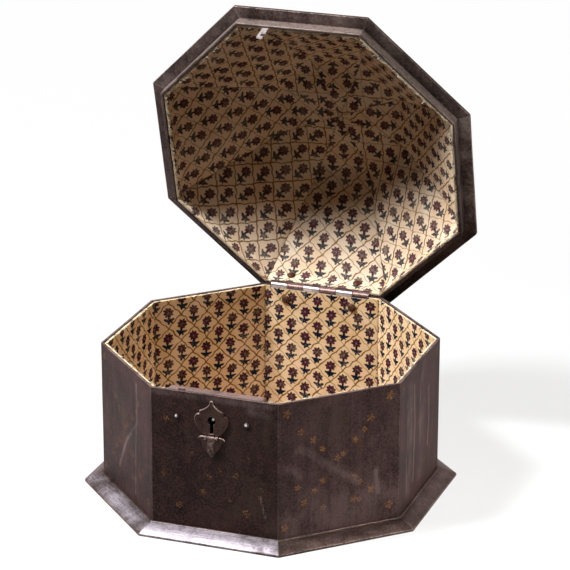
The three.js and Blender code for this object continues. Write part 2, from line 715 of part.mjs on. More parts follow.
// A bowed strip under the top plate, pressing on the bolt.
function boltSpring() {
  const high = BODY_HEIGHT - LOCK_TOP - FIT;
  const low = BOLT_TOP + FIT;
  const sag = high - SPRING - low;
  const end = BOLT_TAIL - BOLT_GUIDE_INSET - BOLT_GUIDE - SPRING_INSET;
  const start = end - SPRING_LENGTH;
  const middle = (start + end) / 2;
  const strip = new THREE.Shape();
  strip.moveTo(start, high).lineTo(start, high - SPRING);
  strip.quadraticCurveTo(middle, high - SPRING - 2 * sag, end, high - SPRING);
  strip.lineTo(end, high);
  strip.quadraticCurveTo(middle, high - 2 * sag, start, high);
  return platedFront(strip, BOLT_THICK, BOLT_BACK, 0);
}

function keyPin() {
  const tip = -WALL_IN + PLAY;
  const seat = LOCK_BACK + FIT;
  const shank = rodAlongY(KEY_PIN_RADIUS, tip, seat + LOCK_SHEET, KEY_SHIFT, KEY_Z);
  return join(shank, rodAlongY(KEY_PIN_HEAD_RADIUS, seat, seat + LOCK_SHEET, KEY_SHIFT, KEY_Z));
}

function buildLock() {
  addPiece(bodyGroup, "lock_case", lockCase(), "lockIron");
  addPiece(bodyGroup, "lock_top_plate", lockTopPlate(), "lockIron");
  addPiece(bodyGroup, "lock_bolt", lockBolt(), "wornIron");
  addPiece(bodyGroup, "bolt_spring", boltSpring(), "spring");
  addPiece(bodyGroup, "key_pin", keyPin(), "wornIron");
  for (const rivet of LOCK_RIVETS) {
    const shape = domedRivet(
      rivet.radius,
      rivet.height,
      LOCK_RIVET_SHANK_RADIUS,
      LOCK_BACK + FIT + WALL_OUT + FIT,
      LOCK_RIVET_CLENCH_RADIUS,
      LOCK_RIVET_CLENCH,
    );
    shape.translate(lockRivetX(rivet), -WALL_OUT - FIT, LOCK_RIVET_Z);
    addPiece(bodyGroup, rivet.name, shape, "wornIron");
  }
  addPiece(bodyGroup, "escutcheon", escutcheon(), "lockIron");
  addPiece(bodyGroup, "keyhole_cover", keyholeCover(), "lockIron");
  addPiece(bodyGroup, "keyhole_cover_pin", coverPin(), "wornIron");
}

buildBody();
buildLid();
buildHinge();
buildLock();

// The lid turns about the hinge pin: its pieces are drawn closed, then the whole swings open.
const swing = new THREE.Group();
swing.position.set(0, HINGE_Y, HINGE_Z);
swing.rotation.x = -THREE.MathUtils.degToRad(OPEN_ANGLE);
lidGroup.position.set(0, -HINGE_Y, -HINGE_Z);
swing.add(lidGroup);

const casket = new THREE.Group();
casket.add(bodyGroup, swing);

export default casket;
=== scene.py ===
# Octagonal iron casket with its hipped lid open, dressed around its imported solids.
# Sizes are in millimetres unless a name says otherwise, and meshes are made in metres.
# The lid's pieces are drawn closed and then swung open about the hinge pin.
import math
import random

import bmesh
import bpy
from mathutils import Matrix, Vector, geometry, noise

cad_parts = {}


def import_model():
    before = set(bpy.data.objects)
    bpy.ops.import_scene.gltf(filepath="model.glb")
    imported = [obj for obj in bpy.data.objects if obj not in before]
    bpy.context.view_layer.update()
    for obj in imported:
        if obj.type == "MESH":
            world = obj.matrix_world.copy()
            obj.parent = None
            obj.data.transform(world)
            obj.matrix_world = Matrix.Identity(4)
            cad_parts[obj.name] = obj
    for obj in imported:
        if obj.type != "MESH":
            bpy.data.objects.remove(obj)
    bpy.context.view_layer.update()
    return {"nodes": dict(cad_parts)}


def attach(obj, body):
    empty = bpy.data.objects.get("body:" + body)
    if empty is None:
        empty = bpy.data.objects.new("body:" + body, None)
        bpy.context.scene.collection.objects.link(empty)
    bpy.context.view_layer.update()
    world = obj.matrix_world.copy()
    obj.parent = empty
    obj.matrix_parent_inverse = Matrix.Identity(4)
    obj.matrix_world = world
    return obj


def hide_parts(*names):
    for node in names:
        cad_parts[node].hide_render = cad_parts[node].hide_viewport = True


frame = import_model()

MM = 0.001
SIDE_NAMES = ["front", "front_right", "right", "back_right", "back", "back_left", "left", "front_left"]
FRONT, BACK = 0, 4
TAN = math.tan(math.pi / 8)

# Sizes of the solids
WALL_OUT = 150.0
PLATE = 2.6
WALL_IN = WALL_OUT - PLATE
BASE_PLATE = 2.4
BODY_HEIGHT = 144.0
FIT = 0.3
PLINTH_REACH = 17.3
PLINTH_HEIGHT = 9.9
PLINTH_EDGE = 2.2
BEAD_REACH = 2.4
BEAD_HEIGHT = 1.4
SWELL = 1.1
OPEN_ANGLE = math.radians(75)
STOP_GAP = 0.15 / math.cos(OPEN_ANGLE / 2)
EAVE_RISE = 10.9
EAVE_REACH = 11.5
EAVE_EDGE = 3.0
RIM_HEIGHT = 19.5
SLOPE_FOOT = RIM_HEIGHT + FIT
LID_CROWN = 66.6
LID_RISE = 95.0
SLOPE = math.atan2(LID_RISE - SLOPE_FOOT, WALL_OUT - LID_CROWN)
PANEL_WIDTH = PLATE / math.sin(SLOPE)
LINING = 2.2
LINING_OUT = WALL_IN - FIT
LINING_IN = LINING_OUT - LINING
LINING_FOOT = 3.6
LINING_SHORT = 1.0
LEAF_OUT = WALL_IN - FIT
LEAF_IN = LEAF_OUT - 1.2
LEAF_DEPTH = RIM_HEIGHT - 1
KNUCKLE_RADIUS = 2.5
KNUCKLE_BORE = 1.5
KNUCKLES = 6
KNUCKLE_GAP = 0.4
HINGE_Y = LEAF_IN + KNUCKLE_RADIUS
HINGE_Z = BODY_HEIGHT
HINGE_LENGTH = 104.0
BARREL_START = -54.5
BARREL_END = BARREL_START + HINGE_LENGTH
BARREL_ROOM = KNUCKLE_RADIUS + FIT
HINGE_RIVET_X = {"left": -37.5, "right": 32.5}
HINGE_RIVET_DROP = 13.2
HINGE_RIVET_RADIUS = 4.25
HINGE_RIVET_HEIGHT = 2.4
HINGE_RIVET_SHANK = 1.6
KEY_X = -2.0
KEY_Z = BODY_HEIGHT - 25.2
KEYHOLE_RADIUS = 3.9
KEYHOLE_SLOT = 3.5
KEYHOLE_REACH = 12.4
KEYHOLE_STEPS = 28
ESCUTCHEON = 1.6
COVER_DROP = 15.8
COVER_Z = KEY_Z - COVER_DROP
COVER_Y = -(WALL_OUT + 2.9)
COVER_KNUCKLE = 1.7
COVER_KNUCKLE_LENGTH = 7.4
COVER_EAR_NEAR = 3.9
COVER_EAR_FAR = 6.9
COVER_TOP = COVER_KNUCKLE + FIT
COVER_PLATE = 2.4
COVER_BACK = 0.5
LOCK_HALF = 46.0
LOCK_HEIGHT = 46.0
LOCK_RIVET_Z = BODY_HEIGHT - 24.5
LOCK_RIVET_SHANK = 1.4
LOCK_RIVET_LENGTH = 12.5
# Name, x, radius, height of the head, and how bright its crown is: rubbed wear with a painted highlight
LOCK_RIVETS = [("left", -36.0, 2.3, 3.0, 0.8), ("right", 32.0, 2.6, 1.6, 1.3)]
CATCH_SLOT = (-36.3, -29.7)
CATCH_ROOT = 13.3

# Places of the photograph's camera
CAMERA_AT = (0.8790, -2.3762, 1.1201)
CAMERA_LOOKS_AT = (0, 0, 0.144)
CAMERA_LENS = 179.45
CAMERA_SHIFT = (0.02458, 0.0966)

random.seed(7)


def side_axes(side):
    """A side's outward direction and its direction along, to the right seen from outside."""
    turn = math.radians(-90 + 45 * side)
    return Vector((math.cos(turn), math.sin(turn), 0)), Vector((-math.sin(turn), math.cos(turn), 0))


AXES = [side_axes(side) for side in range(8)]
SWING = (
    Matrix.Translation((0, HINGE_Y, HINGE_Z))
    @ Matrix.Rotation(-OPEN_ANGLE, 4, "X")
    @ Matrix.Translation((0, -HINGE_Y, -HINGE_Z))
)


def at(side, out, lateral, z):
    normal, along = AXES[side]
    return normal * out + along * lateral + Vector((0, 0, z))


def srgb(red, green, blue):
    part = [v / 255 for v in (red, green, blue)]
    return (*[v / 12.92 if v < 0.04045 else ((v + 0.055) / 1.055) ** 2.4 for v in part], 1)


def ramp(value, low, high):
    share = max(0.0, min(1.0, (value - low) / (high - low)))
    return share * share * (3 - 2 * share)


# Node trees


def operator(operation, swapped=False):
    """An operator of wires that adds a math node."""

    def apply(self, *others):
        return self.graph.math(operation, *((*others, self) if swapped else (self, *others)))

    return apply


class Wire:
    """A value in a material's node tree, with arithmetic."""

    def __init__(self, graph, socket):
        self.graph = graph
        self.socket = socket

    __add__ = __radd__ = operator("ADD")
    __sub__, __rsub__ = operator("SUBTRACT"), operator("SUBTRACT", True)
    __mul__ = __rmul__ = operator("MULTIPLY")
    __truediv__ = operator("DIVIDE")
    __abs__ = operator("ABSOLUTE")


class Graph:
    """Adds nodes to a tree and joins them."""

    def __init__(self, tree):
        self.tree = tree

    def feed(self, socket, value):
        if isinstance(value, Wire):
            self.tree.links.new(value.socket, socket)
        else:
            socket.default_value = value

    def fill(self, node, values):
        """Feeds a node's inputs, in order or by their keys."""
        for key, value in values.items() if isinstance(values, dict) else enumerate(values):
            self.feed(node.inputs[key], value)

    def node(self, kind, values=(), **settings):
        node = self.tree.nodes.new(kind)
        for key, value in settings.items():
            setattr(node, key, value)
        self.fill(node, values)
        return node

    def wires(self, node, *outputs):
        return [Wire(self, node.outputs[key]) for key in outputs or range(len(node.outputs))]

    def make(self, kind, values=(), output=0, **settings):
        """A new node's output."""
        return self.wires(self.node(kind, values, **settings), output)[0]

    def math(self, operation, *values, clamp=False):
        return self.make("ShaderNodeMath", values, operation=operation, use_clamp=clamp)

    def smooth(self, value, low, high):
        return self.make("ShaderNodeMapRange", (value, low, high), interpolation_type="SMOOTHSTEP")

    def hypot(self, x, y):
        return self.math("SQRT", x * x + y * y)

    def fold(self, operation, values):
        """The largest or the smallest of several values."""
        best = values[0]
        for value in values[1:]:
            best = self.math(operation, best, value)
        return best

    def largest(self, *values):
        return self.fold("MAXIMUM", values)

    def mix(self, factor, a, b):
        return self.make("ShaderNodeMix", {0: factor, 6: a, 7: b}, 2, data_type="RGBA")

    def coat(self, tone, *layers):
        """Lays colours over a tone, each with its share."""
        for share, colour in layers:
            tone = self.mix(share, tone, srgb(*colour))
        return tone

    def combine(self, *values):
        return self.make("ShaderNodeCombineXYZ", values)

    def split(self, vector):
        return self.wires(self.node("ShaderNodeSeparateXYZ", (vector,)))

    def attribute(self, name, output="Fac"):
        return self.make("ShaderNodeAttribute", (), output, attribute_name=name)

    def spot(self):
        return self.make("ShaderNodeTexCoord", (), "Object")

    def stretch(self, vector, scale):
        return self.make("ShaderNodeVectorMath", (vector, scale), operation="MULTIPLY")

    def noise(self, vector, scale, detail=2.0, rough=0.5):
        values = {"Vector": vector, "Scale": scale, "Detail": detail, "Roughness": rough}
        return self.make("ShaderNodeTexNoise", values)

    def hash(self, vector):
        return self.split(self.make("ShaderNodeTexWhiteNoise", (vector,), "Color", noise_dimensions="3D"))

    def bump(self, height, distance):
        return self.make("ShaderNodeBump", {"Strength": 0.6, "Distance": distance * MM, "Height": height})


def material(name):
    made = bpy.data.materials.new(name)
    made.use_nodes = True
    return made, Graph(made.node_tree), made.node_tree.nodes["Principled BSDF"]


# Iron

# Traces on a side are placed across from its left edge and down from a height over its foot
LEFT_EDGE = 62.1
TRACE_TOP = 146


def rosette(g, x, y, centre, radius):
    """An outlined flower of five petals with a dot in it, 0 to 1."""
    dx, dy = x - centre[0], y - centre[1]
    away = g.hypot(dx, dy)
    turn = g.math("ARCTAN2", dy, dx)
    edge = (g.math("COSINE", turn * 5) * 0.22 + 0.78) * radius
    petal = g.smooth(away - edge, 0.4, -0.5) * 0.85
    return petal * (1 - g.smooth(abs(away - 0.36 * radius), 0.5, 0.15) * 0.6)


def scattered(g, u, v, flecks):
    return g.largest(*[rosette(g, u, v, (x - LEFT_EDGE, TRACE_TOP - down), radius) for x, down, radius in flecks])


# Worn rosettes: across, down, radius
FRONT_FLECKS = [
    (15, 31, 3.4), (96, 60, 2.6), (11, 86, 3.6), (57, 83, 3), (68, 75, 2.4), (83, 78, 3.4), (51, 99, 3),
    (27, 116, 4.2), (93, 115, 4.2), (109, 88, 2.8), (107, 97, 2.6), (40, 62, 2.4), (77, 104, 2.6),
]
SALTIRE_FLECKS = [
    (9, 13, 4.6), (23, 33, 3.6), (36, 43, 3.8), (45, 53, 3.2), (94, 31, 4.2), (87, 41, 3.4), (78, 50, 3.8),
    (60, 65, 3.4), (66, 62, 2.8), (114, 12, 4.8), (20, 88, 3.2), (45, 86, 3.6), (37, 94, 3.4), (27, 104, 4.4),
    (78, 87, 3.6), (84, 94, 3.6), (96, 103, 4.6), (77, 110, 3.6), (83, 111, 2.8), (46, 112, 3.4), (7, 126, 4.2),
    (114, 122, 4.6),
]
# Lines of the medallion: radius, depth of the lobes, their number, and the line's width
MEDALLION_LINES = [(27, 1.2, 16, 1.2), (23.5, 0.8, 16, 0.8), (14, 2.6, 8, 1.0), (7, 1.6, 8, 0.8)]


def cross_inlay(g, u, v, spot):
    """A saltire of rosettes on a wavy stem."""
    x, y = abs(u), abs(v - 77)
    stem = g.smooth(abs(x - y + g.math("SINE", x * 0.6) * 1.4), 0.7, 0.2)
    return g.largest(scattered(g, u, v, SALTIRE_FLECKS), stem * g.smooth(x, 40, 34) * 0.25)


def network(g, u, v, spot):
    """A fine mesh of lines over the wall."""
    sway = [(g.noise(spot, scale) - 0.5) * 0.006 for scale in (130, 150, 170)]
    bent = g.make("ShaderNodeVectorMath", (spot, g.combine(*sway)), operation="ADD")
    cells = {"Vector": bent, "Scale": 340}
    gap = g.make("ShaderNodeTexVoronoi", cells, "Distance", feature="DISTANCE_TO_EDGE")
    return g.smooth(gap, 0.2, 0.05)


def medallion(g, u, v, spot):
    """A lacy round medallion in the wall's middle."""
    x, y = u + 1, v - 60
    away, turn = g.hypot(x, y), g.math("ARCTAN2", y, x)
    lines = []
    for radius, depth, count, width in MEDALLION_LINES:
        edge = g.math("COSINE", turn * count) * depth + radius
        lines.append(g.smooth(abs(away - edge), width, 0.2 * width))
    return g.largest(*lines)


def ring_inlay(g, u, v, spot):
    return scattered(g, u, v, FRONT_FLECKS)


def fitting_shadow_and_grime(g, u, v, spot):
    """Dark pools below and beside the lock's fittings: painted shadow cast by the fittings, with some gathered
    dirt.
    """
    pools = [(KEY_X + 11, KEY_Z - 8, 10), (KEY_X + 5, COVER_Z - 17, 9), (KEY_X - 9, COVER_Z - 6, 6)]
    pools += [(rivet[1] + 1.5, LOCK_RIVET_Z - 3, rivet[2] * 2) for rivet in LOCK_RIVETS]
    return g.largest(*[g.smooth(g.hypot(u - x, v - z), reach, 0.25 * reach) for x, z, reach in pools])


def iron(name, dark, light, inlay=(), metallic=0.6, rough=0.5, edge_share=0.7, streak_tone=(128, 108, 106), brushed=0):
    """Patinated iron: mottled, a little rusty, with inlay, pale streaks and worn edges. The streaks are rubbed
    wear, and on the plinth, the rim's lip and under the eave also painted reflection and painted light.
    """
    made, g, shader = material(name)
    spot = g.spot()
    cloud, blots = g.noise(spot, 22, 5, 0.6), g.noise(spot, 130, 5, 0.7)
    grain, speckle = g.noise(spot, 420, 3, 0.6), g.noise(spot, 1100, 2, 0.6)
    drips = g.noise(g.stretch(spot, (1, 1, 0.12)), 90, 3, 0.6)
    scratch = g.noise(g.stretch(spot, (1, 1, 0.03)), 700, 1)
    ragged = g.smooth(g.attribute("worn") + (grain - 0.5) * 1.1 + (cloud - 0.5) * 1.4, 0.5, 1.1)
    pale_streaks = g.smooth(g.attribute("rub") * (drips + cloud * 2 - 0.4) + (grain - 0.5) * 0.3, 0.25, 1.1)
    mottle = cloud * 0.8 + blots * 0.3 + drips * 0.45 + grain * 0.6 + speckle * 0.7 - 0.925
    olive = g.smooth(g.noise(spot, 17, 4, 0.6), 0.55, 0.72)
    rust = g.smooth(g.noise(spot, 60, 6, 0.7), 0.6, 0.72)
    pale = g.smooth(g.noise(spot, 260, 4, 0.7), 0.66, 0.76)
    tone = g.mix(g.smooth(mottle, 0.25, 0.75), srgb(*dark), srgb(*light))
    tone = g.coat(tone, (olive * 0.35, (62, 56, 46)), (rust * 0.5, (92, 58, 40)), (pale * 0.35, (136, 118, 96)))
    for drawn, colour, share, loss in inlay:
        u, v, _ = g.split(g.attribute("place", "Vector"))
        kept = g.smooth(g.noise(spot, 640, 3, 0.7) + (blots - 0.5) * 0.5, loss, loss + 0.12)
        tone = g.coat(tone, (drawn(g, u, v, spot) * kept * share, colour))
    if brushed:
        lines = g.noise(g.stretch(g.attribute("place", "Vector"), (0.045, 1.5, 3.0)), 1.0, 4, 0.65)
        pale_streaks = pale_streaks * (g.smooth(lines + (grain - 0.5) * 0.5, 0.3, 0.66) * brushed + 1 - brushed)
    # Pale streaks: rubbed wear, and on the plinth, the rim's lip and under the eave also painted reflection and
    # painted light.
    tone = g.coat(tone, (pale_streaks * 0.75, streak_tone), (ragged * edge_share, (150, 130, 122)))
    pits = g.smooth(g.noise(spot, 900), 0.62, 0.7)
    matt = g.smooth(grain + (cloud - 0.5) * 0.6 - ragged * 0.3, -0.6, 1.6) * 0.5 + rough - 0.25
    g.fill(shader, {
        "Base Color": tone,
        "Metallic": metallic,
        "Specular IOR Level": 0.18,
        "Specular Tint": (0.9, 0.7, 0.68, 1),
        "Roughness": matt,
        "Normal": g.bump(cloud * 1.2 + grain * 0.25 - pits * 0.3 + scratch * 0.12, 0.25),
    })
    return made


# Printed cotton

PITCH_U = 27.5
PITCH_V = 27.3
FLOWER_RISE = 3.3  # of a flower's head above the middle of its repeat
THREAD_PITCH = 0.62
# Strokes of a flower's stem and leaves: start, end, half width at either
STROKES = [
    ((0, -3.5), (-0.3, -9.5), 1.15, 1.3),
    ((-0.9, -9.0), (-5.0, -6.9), 2.1, 0.8),
    ((0.5, -9.0), (5.1, -7.4), 2.1, 0.8),
    ((-0.3, -9.3), (-1.4, -12.4), 2.0, 0.7),
    ((0.4, -9.6), (2.9, -11.6), 1.3, 0.5),
]


def segment(g, x, y, a, b, wide, narrow):
    """Distance in millimetres to a tapered stroke from a to b, below 0 inside it."""
    dx, dy = b[0] - a[0], b[1] - a[1]
    px, py = x - a[0], y - a[1]
    along = g.math("MULTIPLY", px * dx + py * dy, 1 / (dx * dx + dy * dy), clamp=True)
    return g.hypot(px - along * dx, py - along * dy) - (along * (narrow - wide) + wide)


def flower_group():
    """One printed flower about the middle of its head: petals, pale heart, leaves."""
    tree = bpy.data.node_groups.new("printed_flower", "ShaderNodeTree")
    for way, names in (("INPUT", ("X", "Y", "Turn", "Ragged")), ("OUTPUT", ("Petals", "Heart", "Leaves"))):
        for name in names:
            tree.interface.new_socket(name, in_out=way, socket_type="NodeSocketFloat")
    g = Graph(tree)
    x, y, turn, ragged = g.wires(g.node("NodeGroupInput"), 0, 1, 2, 3)
    away = g.hypot(x, y) + ragged * 2.5
    petal = (g.math("ARCTAN2", x, y) + turn * 0.5) * (8 / math.tau)
    wave = g.math("PINGPONG", petal, 0.5) * 2
    petals = g.smooth(away - (5.8 - wave * 1.8), 0.35, -0.3)
    slit = g.smooth(wave, 0.88, 1.0) * g.smooth(away, 1.6, 2.6) * 0.3
    heart = g.largest(g.smooth(away, 1.2, 0.7), slit)
    near = g.fold("MINIMUM", [segment(g, x, y, *stroke) for stroke in STROKES])
    g.node("NodeGroupOutput", (petals, heart, g.smooth(near + ragged * 2.9, 0.3, -0.25)))
    return tree


def printed_flowers(g, p, q, ragged, group):
    """Both halves of the staggered repeat: masks of petals, hearts and leaves."""
    masks = []
    for half in (0.0, 0.5):
        across, up = p / PITCH_U + (0.5 - half), q / PITCH_V + (0.5 - half)
        column, row = g.math("FLOOR", across), g.math("FLOOR", up)
        shift_x, shift_y, turn = g.hash(g.combine(column, row, half + 3.3))
        x = (across - column - 0.5) * PITCH_U + (shift_x - 0.5) * 1.8
        y = (up - row - 0.5) * PITCH_V - FLOWER_RISE + (shift_y - 0.5) * 1.4
        values = (x + y * (turn - 0.5) * 0.25, y, turn - 0.5, ragged)
        masks.append(g.wires(g.node("ShaderNodeGroup", values, node_tree=group)))
    return [g.largest(a, b) for a, b in zip(*masks)]


def trellis(g, p, q, lean, flow):
    """Wavy lines midway between the flowers, one diagonal drawn stronger than the other."""
    across, up = p / PITCH_U, q / PITCH_V
    spacing = PITCH_U * PITCH_V / math.hypot(PITCH_U, PITCH_V)
    gaps, lines = [], []
    for sign, strong in ((-1, g.smooth(lean, -0.6, -0.4)), (1, g.smooth(lean, 0.6, 0.4))):
        along = across - up * sign
        bend = g.math("SINE", along * (2 * math.tau) + sign) * 0.02 + (flow - 0.5) * 0.16
        place = across + up * sign + bend
        gap = abs(place - g.math("FLOOR", place) - 0.5) * spacing
        width = strong * 0.22 + 0.38 + (flow - 0.5) * 0.8
        lines.append(g.smooth(gap - width, 0.3, -0.2) * (strong * 0.3 + 0.7))
        gaps.append(gap)
    return g.largest(*lines, g.smooth(g.hypot(*gaps), 1.7, 0.9) * 0.8)


def printed_cotton(name, pale, deep, least):
    """Block-printed cotton. least is the weakest share of its ink."""
    made, g, shader = material(name)
    spot = g.spot()
    p0, q0, lean = g.split(g.attribute("place", "Vector"))
    flow = g.noise(spot, 95, 3, 0.6)
    p = p0 + (g.noise(spot, 24) - 0.5) * 5 + (flow - 0.5) * 1.2
    q = q0 + (g.noise(spot, 31, 1) - 0.5) * 3
    ragged = g.noise(spot, 520, 3, 0.65) - 0.5
    petals, heart, leaves = printed_flowers(g, p, q, ragged, flower_group())
    cloud, pink = g.noise(spot, 34, 4, 0.6), g.noise(spot, 75, 3)
    stain = g.smooth(g.noise(spot, 15, 5, 0.65), 0.52, 0.75)
    fade = g.smooth(g.noise(spot, 900, 3, 0.7) + (flow - 0.5) * 0.5 + (cloud - 0.5) * 0.3, 0.36, 0.52)
    ink = fade * 0.27 + least
    dirt = g.attribute("worn") * g.smooth(cloud, 0.25, 0.75)
    bare = g.smooth(g.attribute("rub") + (pink - 0.5) * 1.4 + ragged, 0.5, 0.8)
    tone = g.coat(
        g.mix(g.smooth(cloud, 0.3, 0.7), srgb(*pale), srgb(*deep)),
        (g.smooth(pink, 0.5, 0.75) * 0.45, (240, 200, 178)),
        (stain * 0.4, (180, 132, 84)),
        (trellis(g, p, q, lean, flow) * ink, (128, 88, 36)),
        (leaves * ink, (20, 29, 44)),
    )
    plum = g.mix(g.smooth(flow, 0.35, 0.65), srgb(50, 18, 30), srgb(74, 32, 48))
    tone = g.coat(
        g.mix(petals * ink, tone, plum),
        (heart * petals * 0.6, (160, 122, 112)),
        (dirt * 0.4, (96, 68, 44)),
        (bare * 0.85, (240, 222, 192)),
    )
    weft, warp = [g.math("SINE", value * (math.tau / THREAD_PITCH)) for value in (p0, q0)]
    weave = (weft + warp) * 0.25 + g.noise(spot, 700, 2, 0.6) * 0.6
    normal = g.bump(weave + cloud * 5, 0.14)
    g.fill(shader, {"Base Color": tone, "Roughness": 1.0, "Specular IOR Level": 0.0, "Normal": normal})
    return made


def plain_stuff(name, first, second, scale, bump):
    """A rough material of two mottled tones, for board and thread."""
    made, g, shader = material(name)
    spot = g.spot()
    patch, fine = g.noise(spot, scale, 4, 0.65), g.noise(spot, scale * 12, 3, 0.6)
    tone = g.mix(g.smooth(patch + (fine - 0.5) * 0.5, 0.3, 0.7), srgb(*first), srgb(*second))
    normal = g.bump(fine + patch, bump)
    g.fill(shader, {"Base Color": tone, "Roughness": 0.95, "Specular IOR Level": 0.1, "Normal": normal})
    return made


GOLD, LACE, NEAR_BLACK = (172, 120, 64), (78, 52, 46), (12, 8, 8)
# What is drawn, its colour, its share, and how much of it is lost
INLAY = [(network, LACE, 0.5, 0.42), (medallion, NEAR_BLACK, 0.75, 0.3)]
# The near-black pools below and beside the lock's fittings are painted shadow, with some dirt.
INLAY += [(ring_inlay, GOLD, 0.55, 0.49), (fitting_shadow_and_grime, NEAR_BLACK, 0.8, 0.1)]
SALTIRE = [(cross_inlay, GOLD, 0.9, 0.42)]
FAINT = [(cross_inlay, GOLD, 0.25, 0.44)]
WALL = {"metallic": 0.2, "rough": 0.6, "edge_share": 0.5}
TRIM = {"metallic": 0.6, "rough": 0.45}
# Dark tone, light tone, and the rest
IRONS = {
    "front": ((6, 3, 3), (43, 31, 29), {"inlay": INLAY, "metallic": 0.3, "rough": 0.55, "edge_share": 0.4}),
    "wall": ((27, 16, 15), (80, 57, 55), {"inlay": FAINT, **WALL}),
    "gilt_wall": ((45, 33, 31), (92, 72, 71), {"inlay": SALTIRE, **WALL}),
    "lid": ((34, 24, 23), (74, 56, 54), {"metallic": 0.3, "rough": 0.55}),
    # The mouldings' and the rim's lavender streak tones are partly a painted reflection.
    "moulding": ((46, 35, 33), (92, 76, 73), {"streak_tone": (180, 174, 184), "brushed": 0.55, **TRIM}),
    "rim": ((44, 34, 32), (88, 73, 70), {"streak_tone": (176, 158, 150), "brushed": 0.75, **TRIM}),
    "worn": ((104, 90, 94), (168, 156, 160), {"metallic": 0.8, "rough": 0.38}),
    "bright": ((168, 158, 158), (222, 212, 212), {"metallic": 0.7, "rough": 0.35}),
    "lock_top": ((112, 90, 86), (170, 142, 136), TRIM),
    "lock": ((28, 18, 16), (66, 48, 42), {"metallic": 0.4, "rough": 0.45}),
    "peg": ((46, 36, 34), (84, 70, 66), {"metallic": 0.5, "rough": 0.38, "streak_tone": (240, 232, 230)}),
    "rivet": ((54, 34, 24), (104, 72, 54), {"metallic": 0.3, "rough": 0.45}),
    "spring": ((72, 74, 82), (96, 98, 106), {"metallic": 0.85, "rough": 0.35}),
}
MATERIALS = {key: iron("iron_" + key, dark, light, **rest) for key, (dark, light, rest) in IRONS.items()}
MATERIALS.update({
    "cotton": printed_cotton("printed_cotton", (240, 213, 176), (226, 191, 143), 0.8),
    "floor_cotton": printed_cotton("printed_cotton_floor", (190, 150, 106), (160, 120, 78), 0.7),
    "lid_cotton": printed_cotton("printed_cotton_lid", (241, 222, 198), (230, 202, 169), 0.68),
    "board": plain_stuff("lining_board", (120, 98, 74), (150, 126, 98), 60, 0.2),
    "thread": plain_stuff("cotton_thread", (232, 212, 176), (250, 238, 212), 200, 0.1),
})


# Meshes

SHARP = 32


def linked(name, data):
    made = bpy.data.objects.new(name, data)
    bpy.context.scene.collection.objects.link(made)
    return made


def plain_mesh(name, verts, faces):
    mesh = bpy.data.meshes.new(name)
    mesh.from_pydata([tuple(Vector(v) * MM) for v in verts], [], faces)
    return mesh


def tidy_mesh(mesh, sharp=SHARP):
    work = bmesh.new()
    work.from_mesh(mesh)
    bmesh.ops.remove_doubles(work, verts=work.verts, dist=0.004 * MM)
    bmesh.ops.dissolve_degenerate(work, edges=work.edges, dist=0.002 * MM)
    bmesh.ops.recalc_face_normals(work, faces=work.faces)
    work.to_mesh(mesh)
    work.free()
    mesh.polygons.foreach_set("use_smooth", [True] * len(mesh.polygons))
    mesh.set_sharp_from_angle(angle=math.radians(sharp))


def finish_mesh(name, verts, faces, finish, slot, body, nodes=(), fields=None, sharp=SHARP):
    """A piece from points in millimetres. fields are named values for each point."""
    if body == "lid":
        verts = [SWING @ Vector(v) for v in verts]
    mesh = plain_mesh(name, verts, faces)
    for key, values in (fields or {}).items():
        wide = isinstance(values[0], (tuple, list))
        layer = mesh.attributes.new(key, "FLOAT_VECTOR" if wide else "FLOAT", "POINT")
        flat = [part for value in values for part in value] if wide else values
        layer.data.foreach_set("vector" if wide else "value", flat)
    tidy_mesh(mesh, sharp)
    mesh.materials.append(MATERIALS[finish])
    piece = linked(name, mesh)
    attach(piece, body)
    if nodes:
        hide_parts(*nodes)
    return piece


def bridge(loops):
    """Faces between closed rows of points that follow each other. A row of one is a pole."""
    faces = []
    for low, high in zip(loops, loops[1:]):
        count = max(len(low), len(high))
        for k in range(count):
            nxt = (k + 1) % count
            face = [low[k % len(low)], low[nxt % len(low)], high[nxt % len(high)], high[k % len(high)]]
            faces.append(tuple(dict.fromkeys(face)))
    return [face for face in faces if len(face) > 2]


def stacked(rings, round_again=False):
    """Points and faces through rings of points, and how they are numbered."""
    verts, loops = [], []
    for ring in rings:
        loops.append(range(len(verts), len(verts) + len(ring)))
        verts += ring
    return verts, bridge(loops + loops[:1] if round_again else loops), loops


def capped(rings):
    """Points and faces of a bar through rings, closed at both ends."""
    verts, faces, loops = stacked(rings)
    return verts, faces + [tuple(loops[0]), tuple(reversed(loops[-1]))]


def joined(parts):
    verts, faces = [], []
    for more, loops in parts:
        start = len(verts)
        verts += more
        faces += [tuple(start + i for i in loop) for loop in loops]
    return verts, faces


def graded(length, fine, coarse):
    """Places from 0 to length, close together near both ends."""
    places, step, reach = [0.0], fine, 0.0
    while reach + step < length / 2:
        reach += step
        places.append(reach)
        step = min(step * 1.7, coarse)
    return places + [length - place for place in reversed(places)]


def curve(a, middle, b, steps):
    """Points of a quadratic curve, from the one after a to b."""
    return [a.lerp(middle, s / steps).lerp(middle.lerp(b, s / steps), s / steps) for s in range(1, steps + 1)]


def rounded(before, here, after, radius):
    if radius == 0:
        return [here]
    start = here + (before - here).normalized() * radius
    return [start] + curve(start, here, here + (after - here).normalized() * radius, 4)


